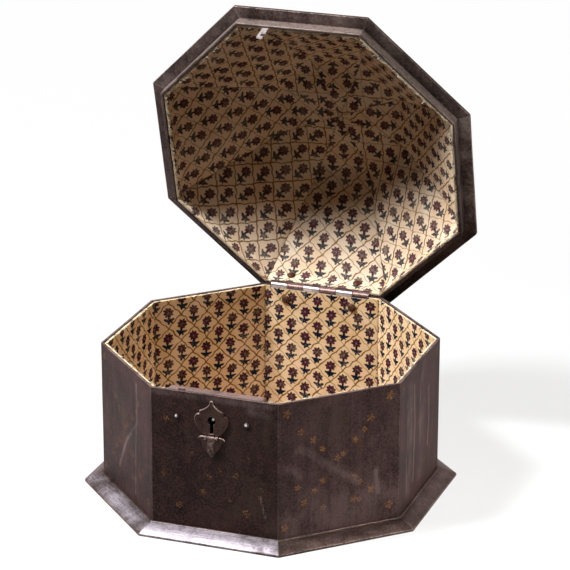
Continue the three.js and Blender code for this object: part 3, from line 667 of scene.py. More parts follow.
def outline(corners, fine=0.5, coarse=2.5):
    """A closed section from (out, z, radius, worn), as (out, z, distance to a worn corner)."""
    corners = [(*corner, 0, False)[:4] for corner in corners]
    spots = [Vector(corner[:2]) for corner in corners]
    count = len(corners)
    arcs = [rounded(spots[i - 1], spots[i], spots[(i + 1) % count], corners[i][2]) for i in range(count)]
    edges = [spots[i] for i in range(count) if corners[i][3]]
    dense = []
    for i in range(count):
        a, b = arcs[i][-1], arcs[(i + 1) % count][0]
        length = (b - a).length
        dense += arcs[i][:-1] + [a.lerp(b, s / length) for s in graded(length, fine, coarse)[:-1]]
    return [(point.x, point.y, min((point - edge).length for edge in edges)) for point in dense]


# Iron sides

CORNER_ROUND = 2.2
CORNER_TANGENT = CORNER_ROUND * TAN
HAMMER = 0.16
HAMMER_GRAIN = 38
CROWN_GRAIN = 30
MITRE = 0.03
WEAR_REACH = 0.75
TOP_WEAR = 0.8
BACK_CUT = (120, 170)  # from and to in y
FRONT_CUT = (-170, -120)


def corner_drop(near):
    """How far a rounded vertical corner lies inside the sharp one."""
    if near >= CORNER_TANGENT:
        return 0.0
    return CORNER_ROUND - math.sqrt(CORNER_ROUND**2 - (CORNER_TANGENT - near) ** 2)


def streak(spot, lines):
    """How strongly a point lies on a pale streak, 0 to 1."""
    best = 0.0
    for width, strength, *points in lines:
        for a, b in zip(points, points[1:]):
            a, b = Vector(a), Vector(b)
            along = max(0, min(1, (spot - a).dot(b - a) / (b - a).length_squared))
            away = (spot - a.lerp(b, along)).length
            best = max(best, strength * math.exp(-((away / width) ** 2)))
    return best


def band(width, strength, down):
    """A streak all along a side."""
    return width, strength, (-5, down), (135, down)


# The band under the eave is painted light, lifting the shade beside the lip.
UNDERSIDE = band(1.4, 0.36, 135.1)  # of the eave
# Pale streaks: width, strength and points, across and down. The bands along the plinth and the rim's lip are
# partly rubbed wear and partly painted reflection, strongest on the sides turned to the light.
STREAKS_AND_PAINTED_LIGHT = {
    "wall_front_left": [
        (3, 0.75, (89, 13), (88, 53), (63, 78), (43, 111)),
        (2.5, 0.8, (86, 58), (82, 126)),
    ],
    "wall_right": [
        (1.7, 1.0, (24, 28), (26, 60), (23, 95), (25, 122)),
        (1.2, 0.8, (31, 40), (30, 80), (33, 100)),
        (2.2, 0.9, (44, 20), (47, 60), (44, 118)),
        (2.2, 0.9, (90, 38), (92, 70), (89, 98)),
        (1.4, 0.7, (66, 18), (63, 50), (65, 92)),
        (12, 0.6, (30, 20), (34, 70), (28, 124)),
        (14, 0.45, (72, 10), (66, 120)),
    ],
    "wall_front_right": [
        (7, 0.65, (22, 50), (56, 74), (80, 92)),
        (5, 0.7, (30, 52), (52, 70)),
        (8, 0.6, (10, 67), (22, 76)),
        (3, 1.0, (100, 85), (103, 108)),
        (34, 0.5, (14, 120), (112, 112)),
        (18, 0.35, (96, 50), (112, 90)),
    ],
    "wall_front": [
        (1.6, 0.7, (107, 96), (112, 116)),
        (6, 0.45, (4, 5), (120, 6)),
        (8, 0.4, (98, 12), (118, 16)),
        (7, 0.35, (28, 30), (44, 56)),
    ],
    "wall_back_left": [(5, 0.5, (40, 20), (52, 90))],
    "wall_back": [(6, 0.45, (80, 30), (60, 110)), (3, 0.5, (20, 60), (22, 120))],
    "wall_left": [(7, 0.4, (60, 15), (70, 80), (58, 120))],
    # Bands along the plinth: part rubbed wear, part painted reflection.
    "plinth_front": [band(7, 0.88, 140)],
    "plinth_front_left": [band(6, 0.62, 140)],
    "plinth_front_right": [band(6, 0.25, 140)],
    "plinth_left": [band(6, 0.4, 140)],
    "plinth_right": [band(6, 0.3, 140)],
    # Bands along the rim's lip: part rubbed wear, part painted reflection.
    "lid_rim_front": [band(5.2, 1.5, 141.2), (5, 0.3, (0, 129), (125, 129)), UNDERSIDE],
    "lid_rim_front_left": [band(5.2, 1.4, 141.2), UNDERSIDE],
    "lid_rim_front_right": [band(5.2, 1.35, 141.2), (0.7, 1.9, (12, 138.5), (60, 137.5), (104, 138.2)), UNDERSIDE],
    "lid_rim_right": [
        band(4.5, 1.0, 141.2),
        (2, 0.8, (10, 134), (60, 133)),
        (1.5, 0.9, (40, 137), (110, 136)),
        # Painted light under the eave, like the band above.
        band(1.4, 0.55, 135.1),
    ],
    "lid_rim_left": [band(4, 0.35, 141)],
}


def bevel_stop(spot, upward):
    """The bevelled back edges on which the lid stops."""
    past = spot.y - HINGE_Y
    if past > 0:
        limit = math.tan(OPEN_ANGLE / 2) * past + STOP_GAP
        spot.z = max(spot.z, HINGE_Z + limit) if upward else min(spot.z, HINGE_Z - limit)
    return spot


def side_piece(name, node, side, section, visible, finish, slot, body, coarse):
    """One mitred side of an eight-sided frame."""
    lid = body == "lid"
    length = 2 * WALL_OUT * TAN
    stations = graded(length, 0.3, coarse)
    rings, places, worn, rub = [], [], [], []
    for station in stations:
        near = min(station, length - station)
        share = 2 * station / length - 1
        ring = []
        for out, z, edge in section:
            facing = visible(out, z)
            out -= facing * corner_drop(near)
            lateral = share * (out * TAN - MITRE)
            spot = at(side, out, lateral, z + (BODY_HEIGHT if lid else 0))
            dent = noise.noise(spot / HAMMER_GRAIN + Vector((3, 9, 1)) * (1 + lid))
            ring.append(bevel_stop(spot + AXES[side][0] * facing * HAMMER * dent, lid))
            places.append((lateral, z, side))
            on_top = TOP_WEAR if not lid and z > BODY_HEIGHT - 0.4 else 0.0
            worn.append(max(on_top, facing * math.exp(-min(near * 1.3, edge) / WEAR_REACH)))
            rub.append(streak(Vector((lateral + length / 2, TRACE_TOP - z)), STREAKS_AND_PAINTED_LIGHT.get(node, ())) * facing)
        rings.append(ring)
    fields = {"place": places, "worn": worn, "rub": rub}
    return finish_mesh(name, *capped(rings), finish, slot, body, (node,), fields)


def carve(piece, points, reach, swung=False):
    """Cuts a closed outline in x and z out of a piece, between two values of y."""
    rings = [[Vector((x, y, z)) for x, z in points] for y in reach]
    verts, faces = capped(rings)
    mesh = plain_mesh("tool", [SWING @ v for v in verts] if swung else verts, faces)
    tidy_mesh(mesh)
    tool = linked("tool", mesh)
    step = piece.modifiers.new("carve", "BOOLEAN")
    step.operation, step.solver, step.object = "DIFFERENCE", "EXACT", tool
    bpy.context.view_layer.update()
    evaluated = piece.evaluated_get(bpy.context.evaluated_depsgraph_get())
    cut = bpy.data.meshes.new_from_object(evaluated)
    old = piece.data
    piece.modifiers.clear()
    piece.data = cut
    bpy.data.meshes.remove(old)
    bpy.data.meshes.remove(mesh)
    cut.set_sharp_from_angle(angle=math.radians(SHARP))


def keyhole_outline():
    half = KEYHOLE_SLOT / 2
    start = math.asin(half / KEYHOLE_RADIUS)
    points = []
    for i in range(KEYHOLE_STEPS + 1):
        angle = -math.pi / 2 + start + (math.tau - 2 * start) * i / KEYHOLE_STEPS
        points.append((KEY_X + KEYHOLE_RADIUS * math.cos(angle), KEY_Z + KEYHOLE_RADIUS * math.sin(angle)))
    return points + [(KEY_X - half, KEY_Z - KEYHOLE_REACH), (KEY_X + half, KEY_Z - KEYHOLE_REACH)]


def moulding_slope(reach, edge_top, top):
    """Points of a moulding's swelling slope, from its edge to the bead at the wall."""
    bead = WALL_OUT + FIT + BEAD_REACH
    a, b = Vector((WALL_OUT + reach, edge_top)), Vector((bead, top - BEAD_HEIGHT))
    middle = Vector(((a.x + b.x) / 2, (a.y + b.y) / 2 + 2 * SWELL))
    points = [(a.x, a.y, 0.5, True)] + [tuple(p) for p in curve(a, middle, b, 6)[:-1]]
    return points + [(b.x, b.y, 0.2), (bead, top, 0.45, True)]


def side_sections():
    """Sections of a wall, the plinth, the lid's rim and a lid panel."""
    wall = [(WALL_IN, BASE_PLATE), (WALL_OUT, BASE_PLATE)]
    wall += [(WALL_OUT, BODY_HEIGHT, 0.5, True), (WALL_IN, BODY_HEIGHT, 0.3, True)]
    plinth = [(WALL_OUT + FIT, 0), (WALL_OUT + PLINTH_REACH, 0, 0.3)]
    plinth += moulding_slope(PLINTH_REACH, PLINTH_EDGE, PLINTH_HEIGHT) + [(WALL_OUT + 0.05, PLINTH_HEIGHT)]
    rim = [(WALL_IN, FIT, 0.3, True), (WALL_OUT, FIT, 0.4, True), (WALL_OUT, EAVE_RISE)]
    rim += [(WALL_OUT + EAVE_REACH, EAVE_RISE, 0.4, True)]
    rim += moulding_slope(EAVE_REACH, EAVE_RISE + EAVE_EDGE, RIM_HEIGHT) + [(WALL_IN, RIM_HEIGHT)]
    panel = [(WALL_OUT - PANEL_WIDTH, SLOPE_FOOT), (WALL_OUT, SLOPE_FOOT, 0.3, True)]
    panel += [(LID_CROWN, LID_RISE, 0.2, True), (LID_CROWN - PANEL_WIDTH, LID_RISE)]
    return outline(wall), outline(plinth), outline(rim), outline(panel, 0.6, 3)


def over(level):
    return lambda out, z: 1.0 if out > level else 0.0


def panel_face(out, z):
    return 1.0 if z - SLOPE_FOOT > math.tan(SLOPE) * (WALL_OUT - PANEL_WIDTH / 2 - out) else 0.0


def iron_sides():
    wall, plinth, rim, panel = side_sections()
    kinds = [
        ("wall", "plate", wall, over(WALL_OUT - 1), "wall", "iron", "casket", 2.2),
        ("plinth", "iron", plinth, over(WALL_OUT + 1), "moulding", "moulding", "casket", 2.5),
        ("lid_rim", "iron", rim, over(WALL_OUT - 1), "rim", "moulding", "lid", 2.5),
        ("lid_panel", "iron", panel, panel_face, "lid", "iron", "lid", 3),
    ]
    looks = {"wall_front": "front", "wall_front_right": "gilt_wall"}
    pieces = {}
    for side, word in enumerate(SIDE_NAMES):
        for stem, ending, section, visible, finish, slot, body, coarse in kinds:
            node = f"{stem}_{word}"
            finish = looks.get(node, finish)
            name = f"{node}_{ending}"
            pieces[node] = side_piece(name, node, side, section, visible, finish, slot, body, coarse)
    low, high = HINGE_Z - BARREL_ROOM, HINGE_Z + BARREL_ROOM
    left, right = BARREL_START - FIT, BARREL_END + FIT
    barrel = [(left, low), (right, low), (right, high), (left, high)]
    carve(pieces["wall_back"], barrel, BACK_CUT)
    carve(pieces["lid_rim_back"], barrel, BACK_CUT, True)
    carve(pieces["wall_front"], keyhole_outline(), FRONT_CUT)


def octagon(out, z, shares):
    """Points round a level octagon, or its middle. shares run from -1 to 1 along each side."""
    if out == 0:
        return [Vector((0, 0, z))]
    return [at(side, out, share * out * TAN, z) for side in range(8) for share in shares]


def crown_plate():
    """The level octagon at the lid's top, with hammered faces."""
    under, upper = LID_RISE + FIT, LID_RISE + FIT + PLATE
    edge = LID_CROWN - PLATE / math.tan(SLOPE)
    profile = [(out, upper, edge - out) for out in (0, 8, 16, 24, 32, 40, 48, 55, 60)]
    profile += [(edge - 1.2, upper, 1.2), (edge - 0.3, upper - 0.05, 0.2), (edge + 0.3, upper - 0.3, 0.2)]
    profile += [((edge + LID_CROWN) / 2, (under + upper) / 2, 1.5), (LID_CROWN, under, 0.3), (0, under, 9)]
    shares = [2 * s - 1 for s in graded(1, 0.01, 0.09)[:-1]]
    rings, worn = [], []
    for out, z, near in profile:
        ring = octagon(out, z + BODY_HEIGHT, shares)
        for spot in ring:
            spot.z += HAMMER * noise.noise(spot / CROWN_GRAIN) if z > under else 0
        rings.append(ring)
        worn += [math.exp(-near / WEAR_REACH)] * len(ring)
    verts, faces, _ = stacked(rings)
    finish_mesh("lid_crown_plate", verts, faces, "lid", "iron", "lid", ("lid_top_plate",), {"worn": worn}, 25)


# Cotton lining

CLOTH = 0.4
BOARD = 1.7
PASTE = 0.05  # between the cloth and its board
SEAM = 0.12  # half of the gap between two pieces of cotton
SEAM_DIP = 0.22
SEAM_DIRT = 0.7
CLOTH_SWELL = 0.5
CLOTH_GRAIN = 21
FLOOR_SWELL = 0.2
FLOOR_GRAIN = 23
FLOOR_DIRT = 3
FRAYS = {"casket": 60, "lid": 90}  # tries on each side
# Where the print starts on each panel, from the front one round to the right:
# across, up, turn in degrees, and which diagonal is strong
WALL_PRINT = [
    (4, 60, 1.0, 1), (12, 66, -1.0, 1), (2, 71, 0.6, -1), (7, 69, 2.6, 1),
    (10.5, 62.4, 0.3, 1), (-5.5, 57.2, -1.1, 0), (18.1, 70.2, 0.0, -1), (6, 63, 0.8, 1),
]
LID_PRINT = [
    (1.6, 63.9, -1.5, 1), (1.1, 68.5, 1.7, 1), (9.3, 83.3, 1.7, -1), (24.5, 96.6, 1.8, 1),
    (2.6, 77.2, 2.0, 1), (0.2, 80.5, 1.5, 0), (13.8, 90.6, 2.0, -1), (17.4, 58.2, 3.1, 1),
]


def along_path(points):
    """Dense points on an open line in (out, z), each with its distance from the start."""
    dense, start = [], 0.0
    for a, b in zip(points, points[1:]):
        a, b = Vector(a), Vector(b)
        length = (b - a).length
        dense += [(a.lerp(b, s / length), start + s) for s in graded(length, 0.8, 4)[:-1]]
        start += length
    return dense + [(Vector(points[-1]), start)]


def path_normals(dense):
    """Directions towards the iron, square to the path."""
    result = []
    for i in range(len(dense)):
        a, b = dense[max(0, i - 1)][0], dense[min(len(dense) - 1, i + 1)][0]
        way = (b - a).normalized()
        result.append(Vector((way.y, -way.x)))
    return result


def thick_sheet(layers, keep):
    """Closed thin mesh over two grids of points. keep(j, k) says which cells are there."""
    columns, rows = len(layers[0]), len(layers[0][0])
    kept = {(j, k) for j in range(columns - 1) for k in range(rows - 1) if keep(j, k)}
    index, verts, source = {}, [], []

    def vert(layer, j, k):
        key = (layer, j, k)
        if key not in index:
            index[key] = len(verts)
            verts.append(layers[layer][j][k])
            source.append((j, k))
        return index[key]

    faces = []
    for j, k in sorted(kept):
        ring = [(j, k), (j + 1, k), (j + 1, k + 1), (j, k + 1)]
        faces.append([vert(0, *c) for c in ring])
        faces.append([vert(1, *c) for c in reversed(ring)])
        beyond = [(j, k - 1), (j + 1, k), (j, k + 1), (j - 1, k)]
        for i, cell in enumerate(beyond):
            if cell not in kept:
                a, b = ring[i], ring[(i + 1) % 4]
                faces.append([vert(0, *b), vert(0, *a), vert(1, *a), vert(1, *b)])
    return verts, [tuple(dict.fromkeys(face)) for face in faces], source


def in_barrel(side, lateral):
    return side == BACK and BARREL_START - FIT < -lateral < BARREL_END + FIT


def cut_away(side, out, below, lateral, lid, board):
    """Whether a lining leaves room for the hinge, the catch or the lock. below is from the joint."""
    if in_barrel(side, lateral):
        room = LEAF_DEPTH + FIT if board else BARREL_ROOM
        return below < room or (out > LINING_IN + 0.2 and below < 8)
    if side == FRONT and lid:
        return CATCH_SLOT[0] < lateral < CATCH_SLOT[1] and below < CATCH_ROOT
    return side == FRONT and abs(lateral) < LOCK_HALF + FIT and below < LOCK_HEIGHT + FIT


def cut_shares(side, lid):
    """Where a panel's cut-outs end, as shares of its half width."""
    cuts = []
    if side == BACK:
        # Seen along the back's own direction, x runs the other way
        cuts = [-(BARREL_START - FIT), -(BARREL_END + FIT)]
    elif side == FRONT:
        cuts = CATCH_SLOT if lid else [-(LOCK_HALF + FIT), LOCK_HALF + FIT]
    return [cut / (LINING_IN * TAN) for cut in cuts]


def aligned(cuts):
    """Shares across a panel from -1 to 1, with lines at the edges of its cut-outs."""
    shares = [2 * s - 1 for s in graded(1, 0.006, 0.035)]
    return sorted([s for s in shares if all(abs(s - c) > 0.008 for c in cuts)] + cuts)


def lining_panel(side, path, first, thick, lid, board):
    """One panel of a lining: points, faces and fields."""
    normals = path_normals(path)
    stations = aligned(cut_shares(side, lid))

    def point(share, k, depth):
        facing = normals[k]
        out, z = path[k][0] + facing * depth
        place = at(side, out, share * max(out * TAN - SEAM, 0), z)
        if board:
            return place
        puff = CLOTH_SWELL * noise.noise(place / CLOTH_GRAIN + Vector((side, 4, 2)))
        dip = SEAM_DIP * math.exp(-(1 - abs(share)) * out * TAN)
        return place + (AXES[side][0] * facing.x + Vector((0, 0, facing.y))) * (puff + dip)

    def keep(j, k):
        out, z = (path[k][0] + path[k + 1][0]) / 2
        lateral = (stations[j] + stations[j + 1]) / 2 * out * TAN
        below = z - BODY_HEIGHT if lid else BODY_HEIGHT - z
        return not cut_away(side, out, below, lateral, lid, board)

    depths, rows = (first, first + thick), range(len(path))
    layers = [[[point(share, k, depth) for k in rows] for share in stations] for depth in depths]
    verts, faces, source = thick_sheet(layers, keep)
    u0, v0, turn, lean = (LID_PRINT if lid else WALL_PRINT)[side]
    cos, sin = math.cos(math.radians(turn)), math.sin(math.radians(turn))
    fields = {"place": [], "worn": [], "rub": []}
    for j, k in source:
        spot, run = path[k]
        u, v = -stations[j] * spot.x * TAN - u0, run - v0
        fields["place"].append((cos * u + sin * v, cos * v - sin * u, lean))
        fields["worn"].append(math.exp(-(1 - abs(stations[j])) * spot.x * TAN / SEAM_DIRT))
        fields["rub"].append(max(0.0, 1.1 - abs(spot.y - BODY_HEIGHT) / 2.4))
    return verts, faces, fields


def lining(stem, path, board=False):
    """A lining's cotton or the board behind it: eight panels as one object."""
    lid = stem == "lid_lining"
    first, thick = (CLOTH + PASTE, BOARD) if board else (0, CLOTH)
    parts = [lining_panel(side, path, first, thick, lid, board) for side in range(8)]
    verts, faces = joined([part[:2] for part in parts])
    fields = {key: [value for part in parts for value in part[2][key]] for key in ("place", "worn", "rub")}
    finish = "board" if board else "lid_cotton" if lid else "cotton"
    name = stem + ("_board" if board else "_cotton")
    nodes = () if board else (stem,)
    return finish_mesh(name, verts, faces, finish, "cotton", "lid" if lid else "casket", nodes, fields, 40)


def body_path(fold):
    """From the floor up to the joint, and over the board's upper edge."""
    top = BODY_HEIGHT - LINING_SHORT
    cuts = [BODY_HEIGHT - LOCK_HEIGHT - FIT, HINGE_Z - LEAF_DEPTH - FIT, HINGE_Z - BARREL_ROOM]
    points = [(LINING_IN, z) for z in (LINING_FOOT, *cuts)]
    if fold:
        points += [(LINING_IN, top - 0.6), (LINING_IN + 0.2, top - 0.15)]
        points += [(LINING_IN + 0.7, top), (LINING_OUT - 0.1, top)]
    else:
        points.append((LINING_IN, top - 0.5))
    return [(spot, run + LINING_FOOT) for spot, run in along_path(points)]


def lid_inside(depth):
    """The lid's inside a given depth under the iron: joint, kink, crown and middle."""
    foot = WALL_OUT - PANEL_WIDTH - depth / math.sin(SLOPE)
    out, top = WALL_IN - depth, LID_RISE - depth
    kink = SLOPE_FOOT + (foot - out) * math.tan(SLOPE)
    return out, kink, foot - (top - SLOPE_FOOT) / math.tan(SLOPE), top


def lid_path(fold):
    """From the joint up the lip and the slope to the middle of the crown, drawn closed."""
    out, kink, crown, top = lid_inside(FIT + LINING)
    low = LINING_SHORT
    points = [(out, low + 0.5)]
    if fold:
        points = [(LINING_OUT - 0.1, low), (out + 0.7, low), (out + 0.2, low + 0.15), (out, low + 0.6)]
    rise = Vector((crown - out, top - kink)).normalized()
    points += [(out, BARREL_ROOM), (out, CATCH_ROOT), (out, kink - 2), (out - 0.25, kink - 0.2)]
    points += [tuple(Vector((out, kink)) + rise * 2.5), tuple(Vector((crown, top)) - rise * 5)]
    points += [(crown + 0.6, top - 1.8), (crown - 2.2, top - 0.9), (crown - 7, top - 0.2), (0.0, top)]
    dense = along_path([(x, z + BODY_HEIGHT) for x, z in points])
    lip = [(a, b) for a, b in zip(points, points[1:]) if b[1] <= kink and b[0] > crown]
    kink_run = sum((Vector(b) - Vector(a)).length for a, b in lip)
    return [(spot, run - kink_run) for spot, run in dense]


def cloth_area(path, window):
    """Flat area of eight panels along a path, in square metres."""
    steps = zip(path, path[1:])
    total = sum((run_b - run_a) * (a.x + b.x) * TAN for (a, run_a), (b, run_b) in steps)
    return (8 * total - window) * MM * MM


def octagon_sheet(name, out, z0, z1, finish, node, swell):
    """A level eight-sided sheet, in rings."""
    steps = [0.0, 0.03] + [s / 24 for s in range(2, 24)] + [0.985, 1.0]
    rings, places, worn = [], [], []
    for level, order in ((z1, steps), (z0, reversed(steps))):
        for step in order:
            ring = octagon(out * step, level, [k / 6 - 1 for k in range(12)])
            for spot in ring:
                places.append((spot.x - 3, spot.y - 6, 1))
                flat = Vector((spot.x, spot.y, 0))
                spot.z += swell * (noise.noise(flat / FLOOR_GRAIN) - (step == 1))
            rings.append(ring)
            worn += [math.exp(-(1 - step) * out / FLOOR_DIRT)] * len(ring)
    verts, faces, _ = stacked(rings)
    fields = {"place": places, "worn": worn}
    return finish_mesh(name, verts, faces, finish, "cotton", "casket", node, fields, 40)


def frays(name, body):
    """Loose ends of thread along the cotton's edge at the joint."""
    threads = []
    way = 1 if body == "lid" else -1
    for side in range(8):
        normal, along = AXES[side]
        for _ in range(FRAYS[body]):
            lateral = random.uniform(-1, 1) * (LINING_OUT * TAN - 3)
            if in_barrel(side, lateral) or (side == FRONT and abs(lateral) < LOCK_HALF + 2):
                continue
            spot = normal * random.uniform(LINING_IN + 0.5, LINING_OUT - 0.4) + along * lateral
            spot.z = BODY_HEIGHT + way * (LINING_SHORT - 0.05)
            heading = (along * random.uniform(-1, 1) + normal * random.uniform(-0.8, 0)).normalized()
            heading.z = -0.04 * way
            curl = Vector([random.uniform(-0.5, 0.5) for _ in range(3)])
            curl.z *= 0.1
            length, radius = random.uniform(1.5, 4.5), random.uniform(0.1, 0.2)
            threads.append(capped(thread_rings(spot, heading, curl, length, radius)))
    return finish_mesh(name, *joined(threads), "thread", "cotton", body, (), None, 60)


def thread_rings(spot, heading, curl, length, radius):
    steps, around = 4, 5
    side = heading.orthogonal().normalized()
    other = heading.cross(side)
    rings = []
    for i in range(steps + 1):
        share = i / steps
        centre = spot + heading * length * share + curl * length * share * share * 0.5
        angles = [math.tau * k / around for k in range(around)]
        rings.append([centre + (side * math.cos(a) + other * math.sin(a)) * radius for a in angles])
    return rings


def cotton_linings():
    wall = body_path(True)
    cloth = lining("wall_lining", wall)
    board = lining("wall_lining", body_path(False), True)
    fray = frays("wall_lining_frays", "casket")
    around = 16 * LINING_IN * TAN * MM
    tall = (wall[-1][1] - LINING_FOOT) * MM
    window = 2 * LOCK_HALF * LOCK_HEIGHT
    area = min(cloth_area(wall, window), around * tall)
    lid = lid_path(True)
    dome = lining("lid_lining", lid)
    backing = lining("lid_lining", lid_path(False), True)
    loose = frays("lid_lining_frays", "lid")
    deep = (lid[-1][1] - lid[0][1]) * MM
    area = min(cloth_area(lid, 0), around * deep)
    reach, under = LINING_IN - 0.2, LINING_FOOT - CLOTH
    levels = (under, LINING_FOOT)
    floor = octagon_sheet("floor_lining_cotton", reach, *levels, "floor_cotton", ("floor_lining",), FLOOR_SWELL)
    levels = (BASE_PLATE + PASTE, under - 2 * PASTE)
    bed = octagon_sheet("floor_lining_board", LINING_OUT - FIT, *levels, "board", (), 0)


# Turned pieces


def turned(profile, x, y, z, count=40, along="Y", wobble=0.0):
    """Points and faces of a round form about X or Y, from (radius, place along the axis)."""
    rings = []
    for radius, place in profile:
        ring = []
        for k in range(count if radius > 0 else 1):
            cos, sin = math.cos(math.tau * k / count), math.sin(math.tau * k / count)
            size = radius * (1 + wobble * noise.noise(Vector((cos * 1.3, sin * 1.3, place + z))))
            across = (place, size * cos) if along == "X" else (size * cos, place)
            ring.append((x + across[0], y + across[1], z + size * sin))
        rings.append(ring)
    return stacked(rings)[:2]


def barrel_profile(radius, length, cut, inner=0):
    """A chamfered bar or tube, as (radius, place along the axis)."""
    points = [(inner, 0), (radius - cut, 0), (radius, cut), (radius, length - cut)]
    return points + [(radius - cut, length), (inner, length)]


def dome_profile(radius, height, shank, length, lip=0.35):
    """A hammered rivet head with a small lip, and its shank, the head towards -Y."""
    points = [(0, -height)]
    for i in range(1, 10):
        angle = i / 10 * math.pi / 2
        points.append((radius * math.sin(angle), -lip - (height - lip) * math.cos(angle) ** 0.9))
    points += [(radius, -lip), (radius - 0.1, -0.02), (shank, 0)]
    return points + [(shank, length - 0.2), (shank - 0.2, length), (0, length)]


def rivets():
    head_at = LINING_IN - FIT
    for word, x in HINGE_RIVET_X.items():
        for part, body, way in (("body", "casket", -1), ("lid", "lid", 1)):
            z = HINGE_Z + way * HINGE_RIVET_DROP
            profile = dome_profile(HINGE_RIVET_RADIUS, HINGE_RIVET_HEIGHT, HINGE_RIVET_SHANK, WALL_OUT - head_at)
            verts, faces = turned(profile, x, head_at, z, 40, "Y", 0.05)
            worn = [0.5 * (1 - ramp(math.hypot(v[0] - x, v[2] - z), 1.5, 3.8)) for v in verts]
            name = f"hinge_rivet_{part}_{word}"
            finish_mesh(name + "_head", verts, faces, "rivet", "iron", body, (name,), {"worn": worn}, 50)
    for word, x, radius, height, bright in LOCK_RIVETS:
        profile = dome_profile(radius, height, LOCK_RIVET_SHANK, LOCK_RIVET_LENGTH)
        verts, faces = turned(profile, x, -WALL_OUT - FIT, LOCK_RIVET_Z, 36, "Y", 0.08)
        # The pale crown sits a little to the upper left: rubbed wear with a painted highlight where the light
        # falls.
        away = [math.hypot(v[0] - x + 0.3, v[2] - LOCK_RIVET_Z - 0.4) for v in verts]
        rub = [bright * (1 - ramp(reach, 0.8, 1.8)) for reach in away]
        name = f"lock_rivet_{word}"
        finish_mesh(name + "_head", verts, faces, "peg", "worn_iron", "casket", (name,), {"rub": rub}, 50)


def rolled_knuckle(x0, x1):
    """A strap rolled into a tube about the pin."""
    rings, steps = [], 36
    for i in range(steps):
        angle = math.tau * i / steps
        ring = []
        for radius, place in barrel_profile(KNUCKLE_RADIUS, x1 - x0, 0.25, KNUCKLE_BORE):
            dent = 0.012 * noise.noise(Vector((x0 + place, angle * 3, 1)) / 2.5)
            size = radius * (1 + dent * (radius > KNUCKLE_BORE))
            ring.append((x0 + place, HINGE_Y + size * math.cos(angle), HINGE_Z + size * math.sin(angle)))
        rings.append(ring)
    return stacked(rings, True)[:2]


def box_parts(x0, x1, y0, y1, z0, z1, cut=0.2):
    """A plate with chamfered edges."""
    low, high = Vector((x0, y0, z0)), Vector((x1, y1, z1))
    work = bmesh.new()
    bmesh.ops.create_cube(work, size=1)
    for v in work.verts:
        v.co = (low + high) / 2 + v.co * (high - low)
    bmesh.ops.bevel(work, geom=work.edges[:], offset=cut, segments=2, affect="EDGES", profile=0.6)
    work.verts.index_update()
    verts = [tuple(v.co) for v in work.verts]
    faces = [tuple(v.index for v in face.verts) for face in work.faces]
    work.free()
    return verts, faces


def hinge():
    pitch = HINGE_LENGTH / KNUCKLES
    for part, body, finish, way in (("body", "casket", "bright", -1), ("lid", "lid", "lock_top", 1)):
        heights = sorted((HINGE_Z + way * BARREL_ROOM, HINGE_Z + way * LEAF_DEPTH))
        parts = [box_parts(BARREL_START, BARREL_END, LEAF_IN, LEAF_OUT, *heights)]
        strap = sorted((HINGE_Z + way * 1.2, HINGE_Z + way * (BARREL_ROOM + 1)))
        for index in range(1 if body == "lid" else 0, KNUCKLES, 2):
            x0 = BARREL_START + index * pitch + KNUCKLE_GAP / 2
            x1 = x0 + pitch - KNUCKLE_GAP
            parts.append(rolled_knuckle(x0, x1))
            parts.append(box_parts(x0 + 0.02, x1 - 0.02, LEAF_IN + 0.02, LEAF_OUT - 0.02, *strap, 0.15))
        node = f"hinge_leaf_{part}"
        finish_mesh(node + "_rolled", *joined(parts), finish, "worn_iron", body, (node,), None, 40)


# Escutcheon and cover

FITTING_WEAR = 0.62
INNER_ROWS = (0.22, 0.5, 0.9)  # beside the edges
INNER_PITCH = 0.85


def quadratic(points):
    """A smooth line through (x, z) and (control x, control z, x, z) moves."""
    path = [Vector(points[0])]
    for move in points[1:]:
        path += [Vector(move)] if len(move) == 2 else curve(path[-1], Vector(move[:2]), Vector(move[2:]), 9)
    return path


def mirrored(half):
    """A closed outline from its right half, from the top middle to the bottom."""
    left = [Vector((-p.x, p.y)) for p in reversed(half) if p.x > 0.01]
    return [tuple(p) for p in half + left]


def edges_of(loop):
    return zip(loop, loop[1:] + loop[:1])


def loop_distance(loop, px, pz):
    """Distance from a point to a closed outline."""
    best = 1e9
    for (ax, az), (bx, bz) in edges_of(loop):
        dx, dz = bx - ax, bz - az
        along = max(0, min(1, ((px - ax) * dx + (pz - az) * dz) / (dx * dx + dz * dz + 1e-12)))
        best = min(best, math.hypot(px - ax - along * dx, pz - az - along * dz))
    return best


def inside(loop, px, pz):
    crossings = False
    for (ax, az), (bx, bz) in edges_of(loop):
        if (az > pz) != (bz > pz) and px < ax + (pz - az) / (bz - az) * (bx - ax):
            crossings = not crossings
    return crossings


def on_plate(loops, px, pz):
    """Whether a point is inside the first loop and outside the others."""
    return inside(loops[0], px, pz) and not any(inside(loop, px, pz) for loop in loops[1:])


def resampled(loop, step=0.7):
    points = []
    for (ax, az), (bx, bz) in edges_of(loop):
        parts = max(1, round(math.hypot(bx - ax, bz - az) / step))
        points += [(ax + (bx - ax) * i / parts, az + (bz - az) * i / parts) for i in range(parts)]
    return points


def inner_points(loops):
    """Points on a plate: rows beside its edges, then a grid."""
    found = []

    def accept(px, pz, room):
        if on_plate(loops, px, pz) and min(loop_distance(loop, px, pz) for loop in loops) > room:
            found.append((px, pz))

    for loop in loops:
        for before, here, after in zip(loop[-1:] + loop[:-1], loop, loop[1:] + loop[:1]):
            way = Vector((after[0] - before[0], after[1] - before[1])).normalized()
            for depth in INNER_ROWS:
                for sign in (-1, 1):
                    accept(here[0] - sign * way.y * depth, here[1] + sign * way.x * depth, depth * 0.93)
    reach = range(-30, 31)
    for i in reach:
        for j in reach:
            room = INNER_ROWS[-1] + INNER_PITCH * 0.45
            accept((i + 0.5 * (j % 2)) * INNER_PITCH, j * INNER_PITCH * 0.87, room)
    return found


